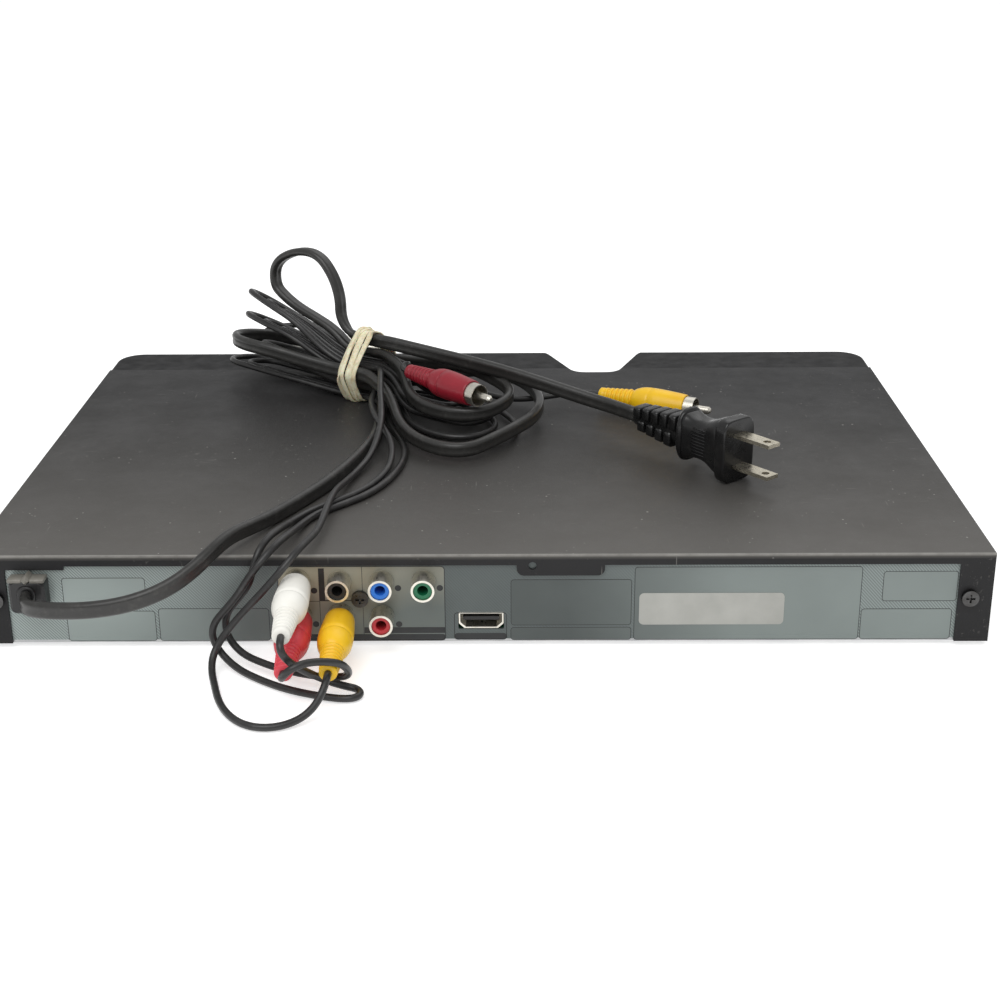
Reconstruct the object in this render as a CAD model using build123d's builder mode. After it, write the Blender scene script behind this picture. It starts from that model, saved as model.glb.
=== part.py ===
from build123d import *
from math import acos, cos, pi, radians, sin, sqrt, tan
import os

os.makedirs("parts", exist_ok=True)

# A slim disc player. +Z is up, the front is at -Y and the rear panel at +Y.
# The origin is on the table, under the middle of the case. All sizes are in millimetres.

# Case
CASE_W = 360.0
BODY_D = 249.0
FOOT_H = 2.0
CASE_H = 34.0
SHEET = 1.0
FIT = 0.3
JACK_REACH = 8.5

FRONT_Y = -(BODY_D + JACK_REACH) / 2
COVER_REAR = FRONT_Y + BODY_D
PANEL_OUT = COVER_REAR - SHEET
PANEL_IN = PANEL_OUT - SHEET
SIDE = CASE_W / 2
TOP = FOOT_H + CASE_H
UNDER_TOP = TOP - SHEET
PAN_TOP = FOOT_H + SHEET

FOOT_R = 8.0
FOOT_X = SIDE - 30.0
FOOT_FRONT = 28.0
FOOT_REAR = 25.0

# Bezel
BEZEL_D = 37.25
BEZEL_BAND = 27.25
BEZEL_WALL = 3.0
FRONT_WALL = 2.75
CORNER_R = 12.0
BEZEL_REAR = FRONT_Y + BEZEL_D
SEAM_Y = FRONT_Y + BEZEL_BAND
INNER_FRONT = FRONT_Y + FRONT_WALL

# Finger notch over the tray
NOTCH_X = -50.0
NOTCH_HALF = 23.0
NOTCH_BASE = 10.0
NOTCH_DEPTH = 33.4
NOTCH_FLOOR = 23.5
NOTCH_WALL = 2.0
SHOULDER_R = 9.0
BASE_R = 8.0

# Disc drive, all about the middle of the disc
DISC_X = -50.0
DISC_Y = -55.0
TRAY_LEFT = -116.0
TRAY_RIGHT = 16.0
TRAY_REAR = 45.0
TRAY_LOW = 15.7
TRAY_FLOOR = 17.5
TRAY_RIM = 20.0
RAIL_LOW = 13.0
DISC_R = 60.5
SMALL_DISC_R = 40.5
SLOT_HALF = 23.0
TRAVEL = 132.0
DOOR_GAP = 0.4
DOOR_LAP = 2.0
DOOR_LOW = 8.0
DOOR_TOP = 20.4
DOOR_T = 3.0
FRAME_WALL = 3.0
FRAME_GAP = 0.5
FRAME_TOP = 21.0
FRAME_FRONT = FRONT_Y + 10.75
FRAME_REAR = 50.0
DECK_LOW = 6.0
DECK_TOP = 8.0

# Gears of the drive
MODULE = 1.0
ADDENDUM = 0.80
DEDENDUM = 1.15
TEETH_BIG = 30
TEETH_SMALL = 12
BACKLASH = 0.60
FLANK = 23.0
GEAR_Y = -95.0
RACK_X = 9.0
GEAR_LOW = 8.6
GEAR_TOP = 12.0
PULLEY_LOW = 12.4
PULLEY_TOP = 15.0
PULLEY_R = 11.0
MOTOR_PULLEY_R = 4.0
GROOVE = 1.2
RIM_T = 0.5
AXLE_R = 2.0
BORE_GAP = 0.05
BELT_GAP = 0.1
BELT_T = 1.2
MOTOR_X = -45.0
MOTOR_Y = -104.0
MOTOR_R = 10.5

BIG_R = MODULE * TEETH_BIG / 2
SMALL_R = MODULE * TEETH_SMALL / 2
GEAR_X = RACK_X - BIG_R
PULLEY_Y = GEAR_Y + BIG_R + SMALL_R

# Traverse, which lifts the turntable into the disc
HINGE_Y = 38.0
PLATE_LOW = 11.5
PLATE_T = 2.0
PLATE_TOP = PLATE_LOW + PLATE_T
PLATE_MID = PLATE_LOW + PLATE_T / 2
PLATE_LEFT = -75.0
PLATE_RIGHT = -17.0
PLATE_WAIST = -30.0
PLATE_FRONT = -80.0
PLATE_STEP = -40.0
PLATE_REAR = 40.0
TRUNNION_R = 1.5
DROP_ANGLE = 2.8
PIN_R = 1.5
PIN_Y = -85.0
SLIDER_T = 3.0
SLIDER_TRAVEL = 12.0
SLIDER_LEFT = -95.0
SLIDER_RIGHT = -33.5
SLIDER_LOW = 3.4
SLIDER_TOP = 15.2
ROD_R = 1.5
ROD_Z = 9.3
ROD_LEFT = -70.0
ROD_RIGHT = -34.0
ROD_FRONT = -38.0
ROD_REAR = 33.0
PICKUP_FRONT = -30.0
PICKUP_REAR = -5.0
PICKUP_LEFT = -65.0
PICKUP_RIGHT = -39.0
LENS_Y = -24.0
SLED_MODULE = 0.8
SLED_TEETH = 16
SLED_PITCH_X = -29.6
SLED_Y = -2.0
SLED_LOW = 9.2
SLED_TOP = 11.2
SLED_R = SLED_MODULE * SLED_TEETH / 2
SLED_X = SLED_PITCH_X + SLED_R

# Boards and sockets
BOARD_LOW = 5.4
BOARD_T = 1.6
BOARD_TOP = BOARD_LOW + BOARD_T
ROW_TOP = TOP - 10.2
ROW_PITCH = 13.4
ROW_LOW = ROW_TOP - ROW_PITCH
COLUMN_X = 65.0
COLUMN_PITCH = 14.9
SHELL_R = 4.15
SHELL_T = 0.8
SHELL_GAP = 0.3
SHELL_STEP = 0.3
INSERT_R = SHELL_R - SHELL_T - 0.1
INSERT_STEP = 0.85
PIN_HOLE_R = 1.9
BLOCK_FACE = PANEL_IN - 0.2
JACK_SCREW_X = 43.0
JACK_SCREW_Z = 19.1
HDMI_X = 0.25
HDMI_W = 14.9
HDMI_H = 5.2
HDMI_T = 0.5
GLAND_X = SIDE - 20.7
GLAND_Z = TOP - 13.6
GLAND_W = 12.6
GLAND_H = 12.8
GLAND_OUT = 6.5

# Screws
SCREW_R = 1.45
SCREW_HOLE_R = 1.6
SCREW_HEAD_R = 3.0
SCREW_HEAD_H = 1.8
SIDE_SCREW_X = SIDE - 8.0
SIDE_SCREW_Z = TOP - 16.7
TAB_W = 12.0

# Buttons and window
RECESS_RIGHT = SIDE - 14.0
RECESS_LEFT = RECESS_RIGHT - 58.0
WINDOW_LEFT = 40.0
WINDOW_RIGHT = RECESS_LEFT - 4.0
WINDOW_LOW = 12.0
WINDOW_TOP = 24.0
RECESS_LOW = 10.0
RECESS_TOP = 26.0
RECESS_D = 1.0
BUTTON_Z = 18.0
EJECT_X = RECESS_RIGHT - 48.0
PLAY_X = RECESS_RIGHT - 32.0
POWER_X = RECESS_RIGHT - 12.0
KEY_W = 12.0
KEY_H = 5.0
POWER_R = 5.5
KEY_GAP = 0.25
KEY_LIP = 1.2
KEY_TRAVEL = 0.5
FRONT_BOARD_Y = FRONT_Y + 15.75

# Cords
MAINS_D = 5.1
LEAD_D = 2.6
BUNDLE_X = 53.0
BUNDLE_Y = -60.0
BUNDLE_TURN = -33.0
TIE_HALF = 5.0


def save(part, name):
    """Name a finished piece and write its file."""
    part.part.label = name
    export_step(part.part, f"parts/{name}.step")


def slab(x, y, z, mode=Mode.ADD):
    """A plain block between two values along each axis."""
    with BuildSketch(Plane.XY.offset(z[0])) as base:
        with Locations(((x[0] + x[1]) / 2, (y[0] + y[1]) / 2)):
            Rectangle(x[1] - x[0], y[1] - y[0])
    extrude(base.sketch, amount=z[1] - z[0], mode=mode)


def post(x, y, r, z, mode=Mode.ADD):
    """An upright round bar between two heights."""
    with BuildSketch(Plane.XY.offset(z[0])) as base:
        with Locations((x, y)):
            Circle(r)
    extrude(base.sketch, amount=z[1] - z[0], mode=mode)


def rear_bar(x, z, r, y, mode=Mode.ADD):
    """A round bar along Y between two values."""
    plane = Plane(origin=(x, y[0], z), x_dir=(1, 0, 0), z_dir=(0, 1, 0))
    with BuildSketch(plane) as base:
        Circle(r)
    extrude(base.sketch, amount=y[1] - y[0], mode=mode)


def side_bar(y, z, r, x, mode=Mode.ADD):
    """A round bar along X between two values."""
    plane = Plane(origin=(x[0], y, z), x_dir=(0, 1, 0), z_dir=(1, 0, 0))
    with BuildSketch(plane) as base:
        Circle(r)
    extrude(base.sketch, amount=x[1] - x[0], mode=mode)


def rounded_rear(x, z, corner, y, mode=Mode.ADD):
    """A block along Y with rounded long edges, between two values along each axis."""
    middle = ((x[0] + x[1]) / 2, y[0], (z[0] + z[1]) / 2)
    plane = Plane(origin=middle, x_dir=(1, 0, 0), z_dir=(0, 1, 0))
    with BuildSketch(plane) as base:
        RectangleRounded(x[1] - x[0], z[1] - z[0], corner)
    extrude(base.sketch, amount=y[1] - y[0], mode=mode)


def tooth_half(module, depth):
    """Half the width of a tooth at a height above its pitch line."""
    at_pitch = (pi * module / 2 - BACKLASH * module / 2) / 2
    return at_pitch - depth * tan(radians(FLANK))


def gear(x, y, teeth, module, z, phase, mode=Mode.ADD):
    """A spur gear with straight flanks; phase is the direction of one tooth in degrees."""
    pitch_r = module * teeth / 2
    tip_r = pitch_r + ADDENDUM * module
    root_r = pitch_r - DEDENDUM * module
    tip_half = tooth_half(module, ADDENDUM * module)
    root_half = tooth_half(module, -DEDENDUM * module)
    outline = []
    for index in range(teeth):
        way = radians(phase + index * 360 / teeth)
        for r, half in ((root_r, -root_half), (tip_r, -tip_half), (tip_r, tip_half), (root_r, root_half)):
            outline.append((x + r * cos(way) - half * sin(way), y + r * sin(way) + half * cos(way)))
    with BuildSketch(Plane.XY.offset(z[0])) as base:
        with BuildLine():
            Polyline(*outline, close=True)
        make_face()
    extrude(base.sketch, amount=z[1] - z[0], mode=mode)


def rack(pitch_x, side, y, tooth_y, module, z):
    """Teeth of a rack along Y; side is +1 where they point to +X. tooth_y is the middle of one tooth."""
    pitch = pi * module
    tip_x = pitch_x + side * ADDENDUM * module
    root_x = pitch_x - side * DEDENDUM * module
    tip_half = tooth_half(module, ADDENDUM * module)
    root_half = tooth_half(module, -DEDENDUM * module)
    first = int((y[0] + root_half - tooth_y) / pitch)
    last = int((y[1] - root_half - tooth_y) / pitch)
    for index in range(first, last + 1):
        at = tooth_y + index * pitch
        with BuildSketch(Plane.XY.offset(z[0])) as base:
            with BuildLine():
                Polyline(
                    (root_x, at - root_half),
                    (tip_x, at - tip_half),
                    (tip_x, at + tip_half),
                    (root_x, at + root_half),
                    close=True,
                )
            make_face()
        extrude(base.sketch, amount=z[1] - z[0])


def notch_outline(grow):
    """The notch's outline from above, widened by grow, closed in front of the case."""
    front = FRONT_Y - 2.0
    half = NOTCH_HALF + grow
    base = NOTCH_BASE + grow
    rear = FRONT_Y + NOTCH_DEPTH + grow
    FilletPolyline(
        (NOTCH_X - half - 9, front),
        (NOTCH_X - half, FRONT_Y),
        (NOTCH_X - base, rear),
        (NOTCH_X + base, rear),
        (NOTCH_X + half, FRONT_Y),
        (NOTCH_X + half + 9, front),
        radius=[SHOULDER_R, BASE_R, BASE_R, SHOULDER_R],
    )
    Line((NOTCH_X + half + 9, front), (NOTCH_X - half - 9, front))


def notch(z, grow=0.0, mode=Mode.SUBTRACT):
    """The notch as a solid between two heights."""
    with BuildSketch(Plane.XY.offset(z[0])) as base:
        with BuildLine():
            notch_outline(grow)
        make_face()
    extrude(base.sketch, amount=z[1] - z[0], mode=mode)


# Chassis pan: floor, side upstands and the bosses that carry the boards
MAIN_X = (-60.0, 80.0)
MAIN_Y = (58.0, PANEL_IN - 1.25)
POWER_BOARD_X = (MAIN_X[1] + 10.0, SIDE - 10.0)
POWER_BOARD_Y = (0.0, PANEL_IN - 8.25)
BOSS_INSET = 5.0
BOSS_R = 3.0
PAN_HALF = SIDE - SHEET - 0.4
PAN_NOSE = SIDE - BEZEL_WALL - FIT
UPSTAND_H = 11.0


def board_corners(x, y):
    """The four screw places of a board."""
    inset = BOSS_INSET
    return [(a, b) for a in (x[0] + inset, x[1] - inset) for b in (y[0] + inset, y[1] - inset)]


with BuildPart() as chassis_pan:
    slab((-PAN_HALF, PAN_HALF), (BEZEL_REAR + FIT, PANEL_OUT), (FOOT_H, PAN_TOP))
    slab((-PAN_NOSE, PAN_NOSE), (INNER_FRONT + FIT, BEZEL_REAR + 1), (FOOT_H, PAN_TOP))
    nose = chassis_pan.edges().filter_by(Axis.Z).group_by(Axis.Y)[0]
    fillet(nose, CORNER_R - BEZEL_WALL)
    for side in (-1, 1):
        edge = sorted((side * PAN_HALF, side * (PAN_HALF - SHEET)))
        slab(edge, (BEZEL_REAR + 1, PANEL_IN - 0.2), (PAN_TOP, PAN_TOP + UPSTAND_H))
    for place in board_corners(MAIN_X, MAIN_Y) + board_corners(POWER_BOARD_X, POWER_BOARD_Y):
        post(*place, BOSS_R, (PAN_TOP, BOARD_LOW))
        post(*place, SCREW_HOLE_R - 0.3, (PAN_TOP - SHEET, BOARD_LOW), Mode.SUBTRACT)
save(chassis_pan, "chassis_pan")

# Feet: round pads under the pan
with BuildPart() as feet:
    for foot_y in (FRONT_Y + FOOT_FRONT, COVER_REAR - FOOT_REAR):
        for foot_x in (-FOOT_X, FOOT_X):
            post(foot_x, foot_y, FOOT_R, (0, FOOT_H))
    rims = feet.edges().filter_by(GeomType.CIRCLE).group_by(Axis.Z)[0]
    chamfer(rims, 0.5)
save(feet, "feet")

# Rear panel, with the windows of the sockets and the gland
HDMI_LOW = BOARD_TOP + HDMI_T
HDMI_GAP = 0.2
GLAND_NECK = 1.0
GLAND_FIT = 0.15
JACKS = [(0, 0), (1, 0), (2, 0), (3, 0), (0, 1), (1, 1), (2, 1)]


def jack_place(column, row):
    """X and Z of a socket, counted from the outer column and the upper row."""
    return COLUMN_X - column * COLUMN_PITCH, ROW_TOP - row * ROW_PITCH


HDMI_XS = (HDMI_X - HDMI_W / 2 - HDMI_T, HDMI_X + HDMI_W / 2 + HDMI_T)
HDMI_ZS = (BOARD_TOP, BOARD_TOP + HDMI_H + 2 * HDMI_T)

with BuildPart() as rear_panel:
    slab((-SIDE + 2 * SHEET, SIDE - 2 * SHEET), (PANEL_IN, PANEL_OUT), (PAN_TOP, TOP - 2.0))
    slab((-SIDE + 4, SIDE - 4), (PANEL_IN - 8, PANEL_IN), (TOP - 3.0, TOP - 2.0))
    for jack in JACKS:
        jack_x, jack_z = jack_place(*jack)
        rear_bar(jack_x, jack_z, SHELL_R + SHELL_GAP, (PANEL_IN, PANEL_OUT), Mode.SUBTRACT)
    rear_bar(JACK_SCREW_X, JACK_SCREW_Z, SCREW_HOLE_R, (PANEL_IN, PANEL_OUT), Mode.SUBTRACT)
    for side in (-1, 1):
        at_x = side * SIDE_SCREW_X
        rear_bar(at_x, SIDE_SCREW_Z, SCREW_HOLE_R, (PANEL_IN, PANEL_OUT), Mode.SUBTRACT)
    rounded_rear(
        (HDMI_XS[0] - HDMI_GAP, HDMI_XS[1] + HDMI_GAP),
        (HDMI_ZS[0] - HDMI_GAP, HDMI_ZS[1] + HDMI_GAP),
        0.6,
        (PANEL_IN, PANEL_OUT),
        Mode.SUBTRACT,
    )
    rounded_rear(
        (GLAND_X - GLAND_W / 2 + GLAND_NECK - GLAND_FIT, GLAND_X + GLAND_W / 2 - GLAND_NECK + GLAND_FIT),
        (GLAND_Z - GLAND_H / 2 + GLAND_NECK - GLAND_FIT, GLAND_Z + GLAND_H / 2 - GLAND_NECK + GLAND_FIT),
        2.0,
        (PANEL_IN, PANEL_OUT),
        Mode.SUBTRACT,
    )
save(rear_panel, "rear_panel")

# Top cover: one folded sheet, with wrap tabs and a hanging tab at the rear
LIP_H = 4.0
LONG_LIP_H = 5.4
LONG_LIP_X = SIDE - 33.0
REAR_TAB = (-43.4, -12.5)
REAR_TAB_LOW = TOP - 8.0
REAR_HOLE = (-18.0, TOP - 4.3)
REAR_HOLE_R = 1.45

with BuildPart() as top_cover:
    slab((-SIDE, SIDE), (SEAM_Y, COVER_REAR), (UNDER_TOP, TOP))
    for side in (-1, 1):
        edge = sorted((side * SIDE, side * (SIDE - SHEET)))
        slab(edge, (SEAM_Y, COVER_REAR), (FOOT_H, TOP))
        wrap = sorted((side * SIDE, side * (SIDE - TAB_W)))
        slab(wrap, (PANEL_OUT, COVER_REAR), (FOOT_H, TOP))
        at_x = side * SIDE_SCREW_X
        rear_bar(at_x, SIDE_SCREW_Z, SCREW_HOLE_R, (PANEL_OUT, COVER_REAR), Mode.SUBTRACT)
    slab((-SIDE, SIDE), (PANEL_OUT, COVER_REAR), (TOP - LIP_H, TOP))
    slab((LONG_LIP_X, SIDE), (PANEL_OUT, COVER_REAR), (TOP - LONG_LIP_H, TOP))
    slab(REAR_TAB, (PANEL_OUT, COVER_REAR), (REAR_TAB_LOW, TOP))
    tab_corners = top_cover.edges().filter_by(Axis.Y).filter_by_position(
        Axis.Z, REAR_TAB_LOW - 0.1, REAR_TAB_LOW + 0.1
    )
    fillet(tab_corners, 2.5)
    rear_bar(*REAR_HOLE, REAR_HOLE_R, (PANEL_OUT, COVER_REAR), Mode.SUBTRACT)
    notch((UNDER_TOP - 1, TOP + 1))
save(top_cover, "top_cover")

# Front bezel: front wall, top band and sides, open behind and below
TRAY_HOLE_X = (TRAY_LEFT - DOOR_LAP - DOOR_GAP, TRAY_RIGHT + DOOR_LAP + DOOR_GAP)
TRAY_HOLE_Z = (DOOR_LOW - DOOR_GAP, DOOR_TOP + DOOR_GAP)
BAND_UNDER = TOP - 3.0
LAP = 0.1
WINDOW_GAP = 0.1
BOARD_POSTS = [(x, z) for x in (WINDOW_LEFT - 8.5, RECESS_RIGHT + 3.5) for z in (27.0, 11.0)]
KEYS = [EJECT_X, PLAY_X]

with BuildPart() as front_bezel:
    slab((-SIDE, SIDE), (FRONT_Y, BEZEL_REAR), (FOOT_H, TOP))
    corners = front_bezel.edges().filter_by(Axis.Z).group_by(Axis.Y)[0]
    fillet(corners, CORNER_R)
    crown = front_bezel.faces().sort_by(Axis.Z)[-1].edges().filter_by_position(
        Axis.Y, FRONT_Y - 1, FRONT_Y + CORNER_R - 0.5
    )
    fillet(crown, 1.5)
    slab((-SIDE, SIDE), (SEAM_Y, BEZEL_REAR), (UNDER_TOP - LAP, TOP), Mode.SUBTRACT)
    for side in (-1, 1):
        edge = sorted((side * SIDE, side * (SIDE - SHEET - LAP)))
        slab(edge, (SEAM_Y, BEZEL_REAR), (FOOT_H, TOP), Mode.SUBTRACT)
    with BuildSketch(Plane.XY.offset(FOOT_H)) as hollow:
        with BuildLine():
            inner = SIDE - BEZEL_WALL
            bend = CORNER_R - BEZEL_WALL
            FilletPolyline(
                (-inner, BEZEL_REAR),
                (-inner, INNER_FRONT),
                (inner, INNER_FRONT),
                (inner, BEZEL_REAR),
                radius=[bend, bend],
            )
            Line((inner, BEZEL_REAR), (-inner, BEZEL_REAR))
        make_face()
    extrude(hollow.sketch, amount=BAND_UNDER - FOOT_H, mode=Mode.SUBTRACT)
    with BuildSketch(Plane.XY.offset(NOTCH_FLOOR - NOTCH_WALL)) as pocket:
        with BuildLine():
            notch_outline(NOTCH_WALL)
        make_face()
        with Locations((NOTCH_X, FRONT_Y - 10)):
            Rectangle(CASE_W, 20, mode=Mode.SUBTRACT)
    extrude(pocket.sketch, amount=UNDER_TOP - LAP - NOTCH_FLOOR + NOTCH_WALL)
    notch((NOTCH_FLOOR, TOP + 1))
    rounded_rear(TRAY_HOLE_X, TRAY_HOLE_Z, 0.8, (FRONT_Y - 1, INNER_FRONT + 1), Mode.SUBTRACT)
    rounded_rear(
        (WINDOW_LEFT, WINDOW_RIGHT), (WINDOW_LOW, WINDOW_TOP), 1.5, (FRONT_Y - 1, INNER_FRONT), Mode.SUBTRACT
    )
    rounded_rear(
        (RECESS_LEFT, RECESS_RIGHT),
        (RECESS_LOW, RECESS_TOP),
        3.0,
        (FRONT_Y, FRONT_Y + RECESS_D),
        Mode.SUBTRACT,
    )
    for key_x in KEYS:
        rounded_rear(
            (key_x - KEY_W / 2 - KEY_GAP, key_x + KEY_W / 2 + KEY_GAP),
            (BUTTON_Z - KEY_H / 2 - KEY_GAP, BUTTON_Z + KEY_H / 2 + KEY_GAP),
            1.2 + KEY_GAP,
            (FRONT_Y, INNER_FRONT),
            Mode.SUBTRACT,
        )
    rear_bar(POWER_X, BUTTON_Z, POWER_R + KEY_GAP, (FRONT_Y, INNER_FRONT), Mode.SUBTRACT)
    for board_post in BOARD_POSTS:
        rear_bar(*board_post, 2.5, (INNER_FRONT - 0.5, FRONT_BOARD_Y))
save(front_bezel, "front_bezel")

# Display window: a dark pane with a rim behind the wall
with BuildPart() as display_window:
    rounded_rear(
        (WINDOW_LEFT + WINDOW_GAP, WINDOW_RIGHT - WINDOW_GAP),
        (WINDOW_LOW + WINDOW_GAP, WINDOW_TOP - WINDOW_GAP),
        1.4,
        (FRONT_Y + 0.3, INNER_FRONT + 1),
    )
    rounded_rear(
        (WINDOW_LEFT - 2, WINDOW_RIGHT + 2),
        (WINDOW_LOW - 2, WINDOW_TOP + 2),
        1.5,
        (INNER_FRONT, INNER_FRONT + 1),
    )
save(display_window, "display_window")

# Push buttons: a cap in the wall, a lip behind it and a stem towards the switch
CAP_FRONT = FRONT_Y + 0.2
STEM_END = FRONT_BOARD_Y - 4.3


def key_stem(x):
    """The stem of a button."""
    rear_bar(x, BUTTON_Z, 1.5, (INNER_FRONT, STEM_END))


with BuildPart() as eject_button:
    rounded_rear(
        (EJECT_X - KEY_W / 2, EJECT_X + KEY_W / 2),
        (BUTTON_Z - KEY_H / 2, BUTTON_Z + KEY_H / 2),
        1.2,
        (CAP_FRONT, INNER_FRONT),
    )
    rounded_rear(
        (EJECT_X - KEY_W / 2 - KEY_LIP, EJECT_X + KEY_W / 2 + KEY_LIP),
        (BUTTON_Z - KEY_H / 2 - KEY_LIP, BUTTON_Z + KEY_H / 2 + KEY_LIP),
        1.2,
        (INNER_FRONT, INNER_FRONT + 1),
    )
    key_stem(EJECT_X)
save(eject_button, "eject_button")

with BuildPart() as play_button:
    rounded_rear(
        (PLAY_X - KEY_W / 2, PLAY_X + KEY_W / 2),
        (BUTTON_Z - KEY_H / 2, BUTTON_Z + KEY_H / 2),
        1.2,
        (CAP_FRONT, INNER_FRONT),
    )
    rounded_rear(
        (PLAY_X - KEY_W / 2 - KEY_LIP, PLAY_X + KEY_W / 2 + KEY_LIP),
        (BUTTON_Z - KEY_H / 2 - KEY_LIP, BUTTON_Z + KEY_H / 2 + KEY_LIP),
        1.2,
        (INNER_FRONT, INNER_FRONT + 1),
    )
    key_stem(PLAY_X)
save(play_button, "play_button")

with BuildPart() as power_button:
    rear_bar(POWER_X, BUTTON_Z, POWER_R, (CAP_FRONT, INNER_FRONT))
    rear_bar(POWER_X, BUTTON_Z, POWER_R + KEY_LIP, (INNER_FRONT, INNER_FRONT + 1))
    key_stem(POWER_X)
save(power_button, "power_button")

# Front board with its switches and display
FRONT_BOARD_T = 1.6
SWITCH_H = 3.2
PLUNGER = STEM_END + KEY_TRAVEL + 0.1

with BuildPart() as front_board:
    slab(
        (WINDOW_LEFT - 12, RECESS_RIGHT + 7),
        (FRONT_BOARD_Y, FRONT_BOARD_Y + FRONT_BOARD_T),
        (7, 31),
    )
    slab(
        (WINDOW_LEFT + 4, WINDOW_RIGHT - 4),
        (INNER_FRONT + 2, FRONT_BOARD_Y),
        (WINDOW_LOW + 1, WINDOW_TOP - 1),
    )
    for switch_x in (EJECT_X, PLAY_X, POWER_X):
        slab(
            (switch_x - 3, switch_x + 3),
            (FRONT_BOARD_Y - SWITCH_H, FRONT_BOARD_Y),
            (BUTTON_Z - 3, BUTTON_Z + 3),
        )
        rear_bar(switch_x, BUTTON_Z, 1.2, (PLUNGER, FRONT_BOARD_Y))
save(front_board, "front_board")

# Main board, mains board and what stands on them
with BuildPart() as main_board:
    slab(MAIN_X, MAIN_Y, (BOARD_LOW, BOARD_TOP))
    for place in board_corners(MAIN_X, MAIN_Y):
        post(*place, SCREW_HOLE_R, (BOARD_LOW, BOARD_TOP), Mode.SUBTRACT)
save(main_board, "main_board")

CHIP = (-22.0, 84.0)
with BuildPart() as main_board_parts:
    slab((CHIP[0] - 12, CHIP[0] + 12), (CHIP[1] - 12, CHIP[1] + 12), (BOARD_TOP, BOARD_TOP + 1.6))
    slab((CHIP[0] + 20, CHIP[0] + 32), (CHIP[1] - 16, CHIP[1] + 2), (BOARD_TOP, BOARD_TOP + 1.2))
    slab((MAIN_X[0] + 6, MAIN_X[0] + 12), (78, 100), (BOARD_TOP, BOARD_TOP + 5))
    slab((-30, -10), (MAIN_Y[0] + 0.5, MAIN_Y[0] + 5.5), (BOARD_TOP, BOARD_TOP + 2.5))
    slab((50, 70), (MAIN_Y[0] + 0.5, MAIN_Y[0] + 5.5), (BOARD_TOP, BOARD_TOP + 2.5))
    for can_x, can_y in ((30, 70), (38, 84), (-44, 72), (-42, 108)):
        post(can_x, can_y, 3.1, (BOARD_TOP, BOARD_TOP + 11))
save(main_board_parts, "main_board_parts")

with BuildPart() as power_board:
    slab(POWER_BOARD_X, POWER_BOARD_Y, (BOARD_LOW, BOARD_TOP))
    for place in board_corners(POWER_BOARD_X, POWER_BOARD_Y):
        post(*place, SCREW_HOLE_R, (BOARD_LOW, BOARD_TOP), Mode.SUBTRACT)
    slab((POWER_BOARD_X[1] - 16, POWER_BOARD_X[1] - 6), (78, 88), (BOARD_TOP, BOARD_TOP + 8))
save(power_board, "power_board")

COIL = (POWER_BOARD_X[0] + 30.0, 52.0)
with BuildPart() as transformer:
    slab((COIL[0] - 15, COIL[0] + 15), (COIL[1] - 12, COIL[1] + 12), (BOARD_TOP, BOARD_TOP + 4))
    slab((COIL[0] - 15, COIL[0] + 15), (COIL[1] - 12, COIL[1] + 12), (BOARD_TOP + 18, BOARD_TOP + 22))
    for side in (-1, 1):
        arm = sorted((COIL[0] + side * 11, COIL[0] + side * 15))
        slab(arm, (COIL[1] - 12, COIL[1] + 12), (BOARD_TOP + 4, BOARD_TOP + 18))
    post(*COIL, 10.0, (BOARD_TOP + 4, BOARD_TOP + 18))
save(transformer, "transformer")

with BuildPart() as power_capacitors:
    post(POWER_BOARD_X[1] - 20, COIL[1] - 24, 9.0, (BOARD_TOP, BOARD_TOP + 22))
    for can_y in (18, 32):
        post(POWER_BOARD_X[0] + 10, can_y, 5.0, (BOARD_TOP, BOARD_TOP + 16))
    cans = power_capacitors.edges().filter_by(GeomType.CIRCLE).filter_by_position(
        Axis.Z, BOARD_TOP + 15, BOARD_TOP + 23
    )
    fillet(cans, 0.8)
save(power_capacitors, "power_capacitors")

# Socket block: one moulding on the main board, with the black socket's core as its boss
BLOCK_X = (COLUMN_X - 3 * COLUMN_PITCH - 7.3, COLUMN_X + 7.0)
HOLE_END = BLOCK_FACE - 9.0
CORE_END = COVER_REAR + JACK_REACH - INSERT_STEP

with BuildPart() as av_jack_block:
    slab(BLOCK_X, (BLOCK_FACE - 18, BLOCK_FACE), (BOARD_TOP, TOP - 4.0))
    rear_bar(*jack_place(1, 0), INSERT_R, (BLOCK_FACE, CORE_END))
    for jack in JACKS:
        rear_bar(*jack_place(*jack), PIN_HOLE_R, (HOLE_END, CORE_END), Mode.SUBTRACT)
    rear_bar(JACK_SCREW_X, JACK_SCREW_Z, SCREW_HOLE_R, (HOLE_END, BLOCK_FACE), Mode.SUBTRACT)
save(av_jack_block, "av_jack_block")

with BuildPart() as av_jack_shells:
    for jack in JACKS:
        rear_bar(*jack_place(*jack), SHELL_R - SHELL_STEP, (BLOCK_FACE, COVER_REAR))
        rear_bar(*jack_place(*jack), SHELL_R, (COVER_REAR, COVER_REAR + JACK_REACH))
    for jack in JACKS:
        rear_bar(*jack_place(*jack), SHELL_R - SHELL_T, (BLOCK_FACE, COVER_REAR + JACK_REACH), Mode.SUBTRACT)
save(av_jack_shells, "av_jack_shells")


def insert(column, row):
    """The coloured core of one socket."""
    rear_bar(*jack_place(column, row), INSERT_R, (BLOCK_FACE, CORE_END))
    rear_bar(*jack_place(column, row), PIN_HOLE_R, (BLOCK_FACE, CORE_END), Mode.SUBTRACT)


with BuildPart() as jack_inserts_red:
    insert(0, 1)
    insert(2, 1)
save(jack_inserts_red, "jack_inserts_red")

with BuildPart() as jack_insert_white:
    insert(0, 0)
save(jack_insert_white, "jack_insert_white")

with BuildPart() as jack_insert_yellow:
    insert(1, 1)
save(jack_insert_yellow, "jack_insert_yellow")

with BuildPart() as jack_insert_blue:
    insert(2, 0)
save(jack_insert_blue, "jack_insert_blue")

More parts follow.
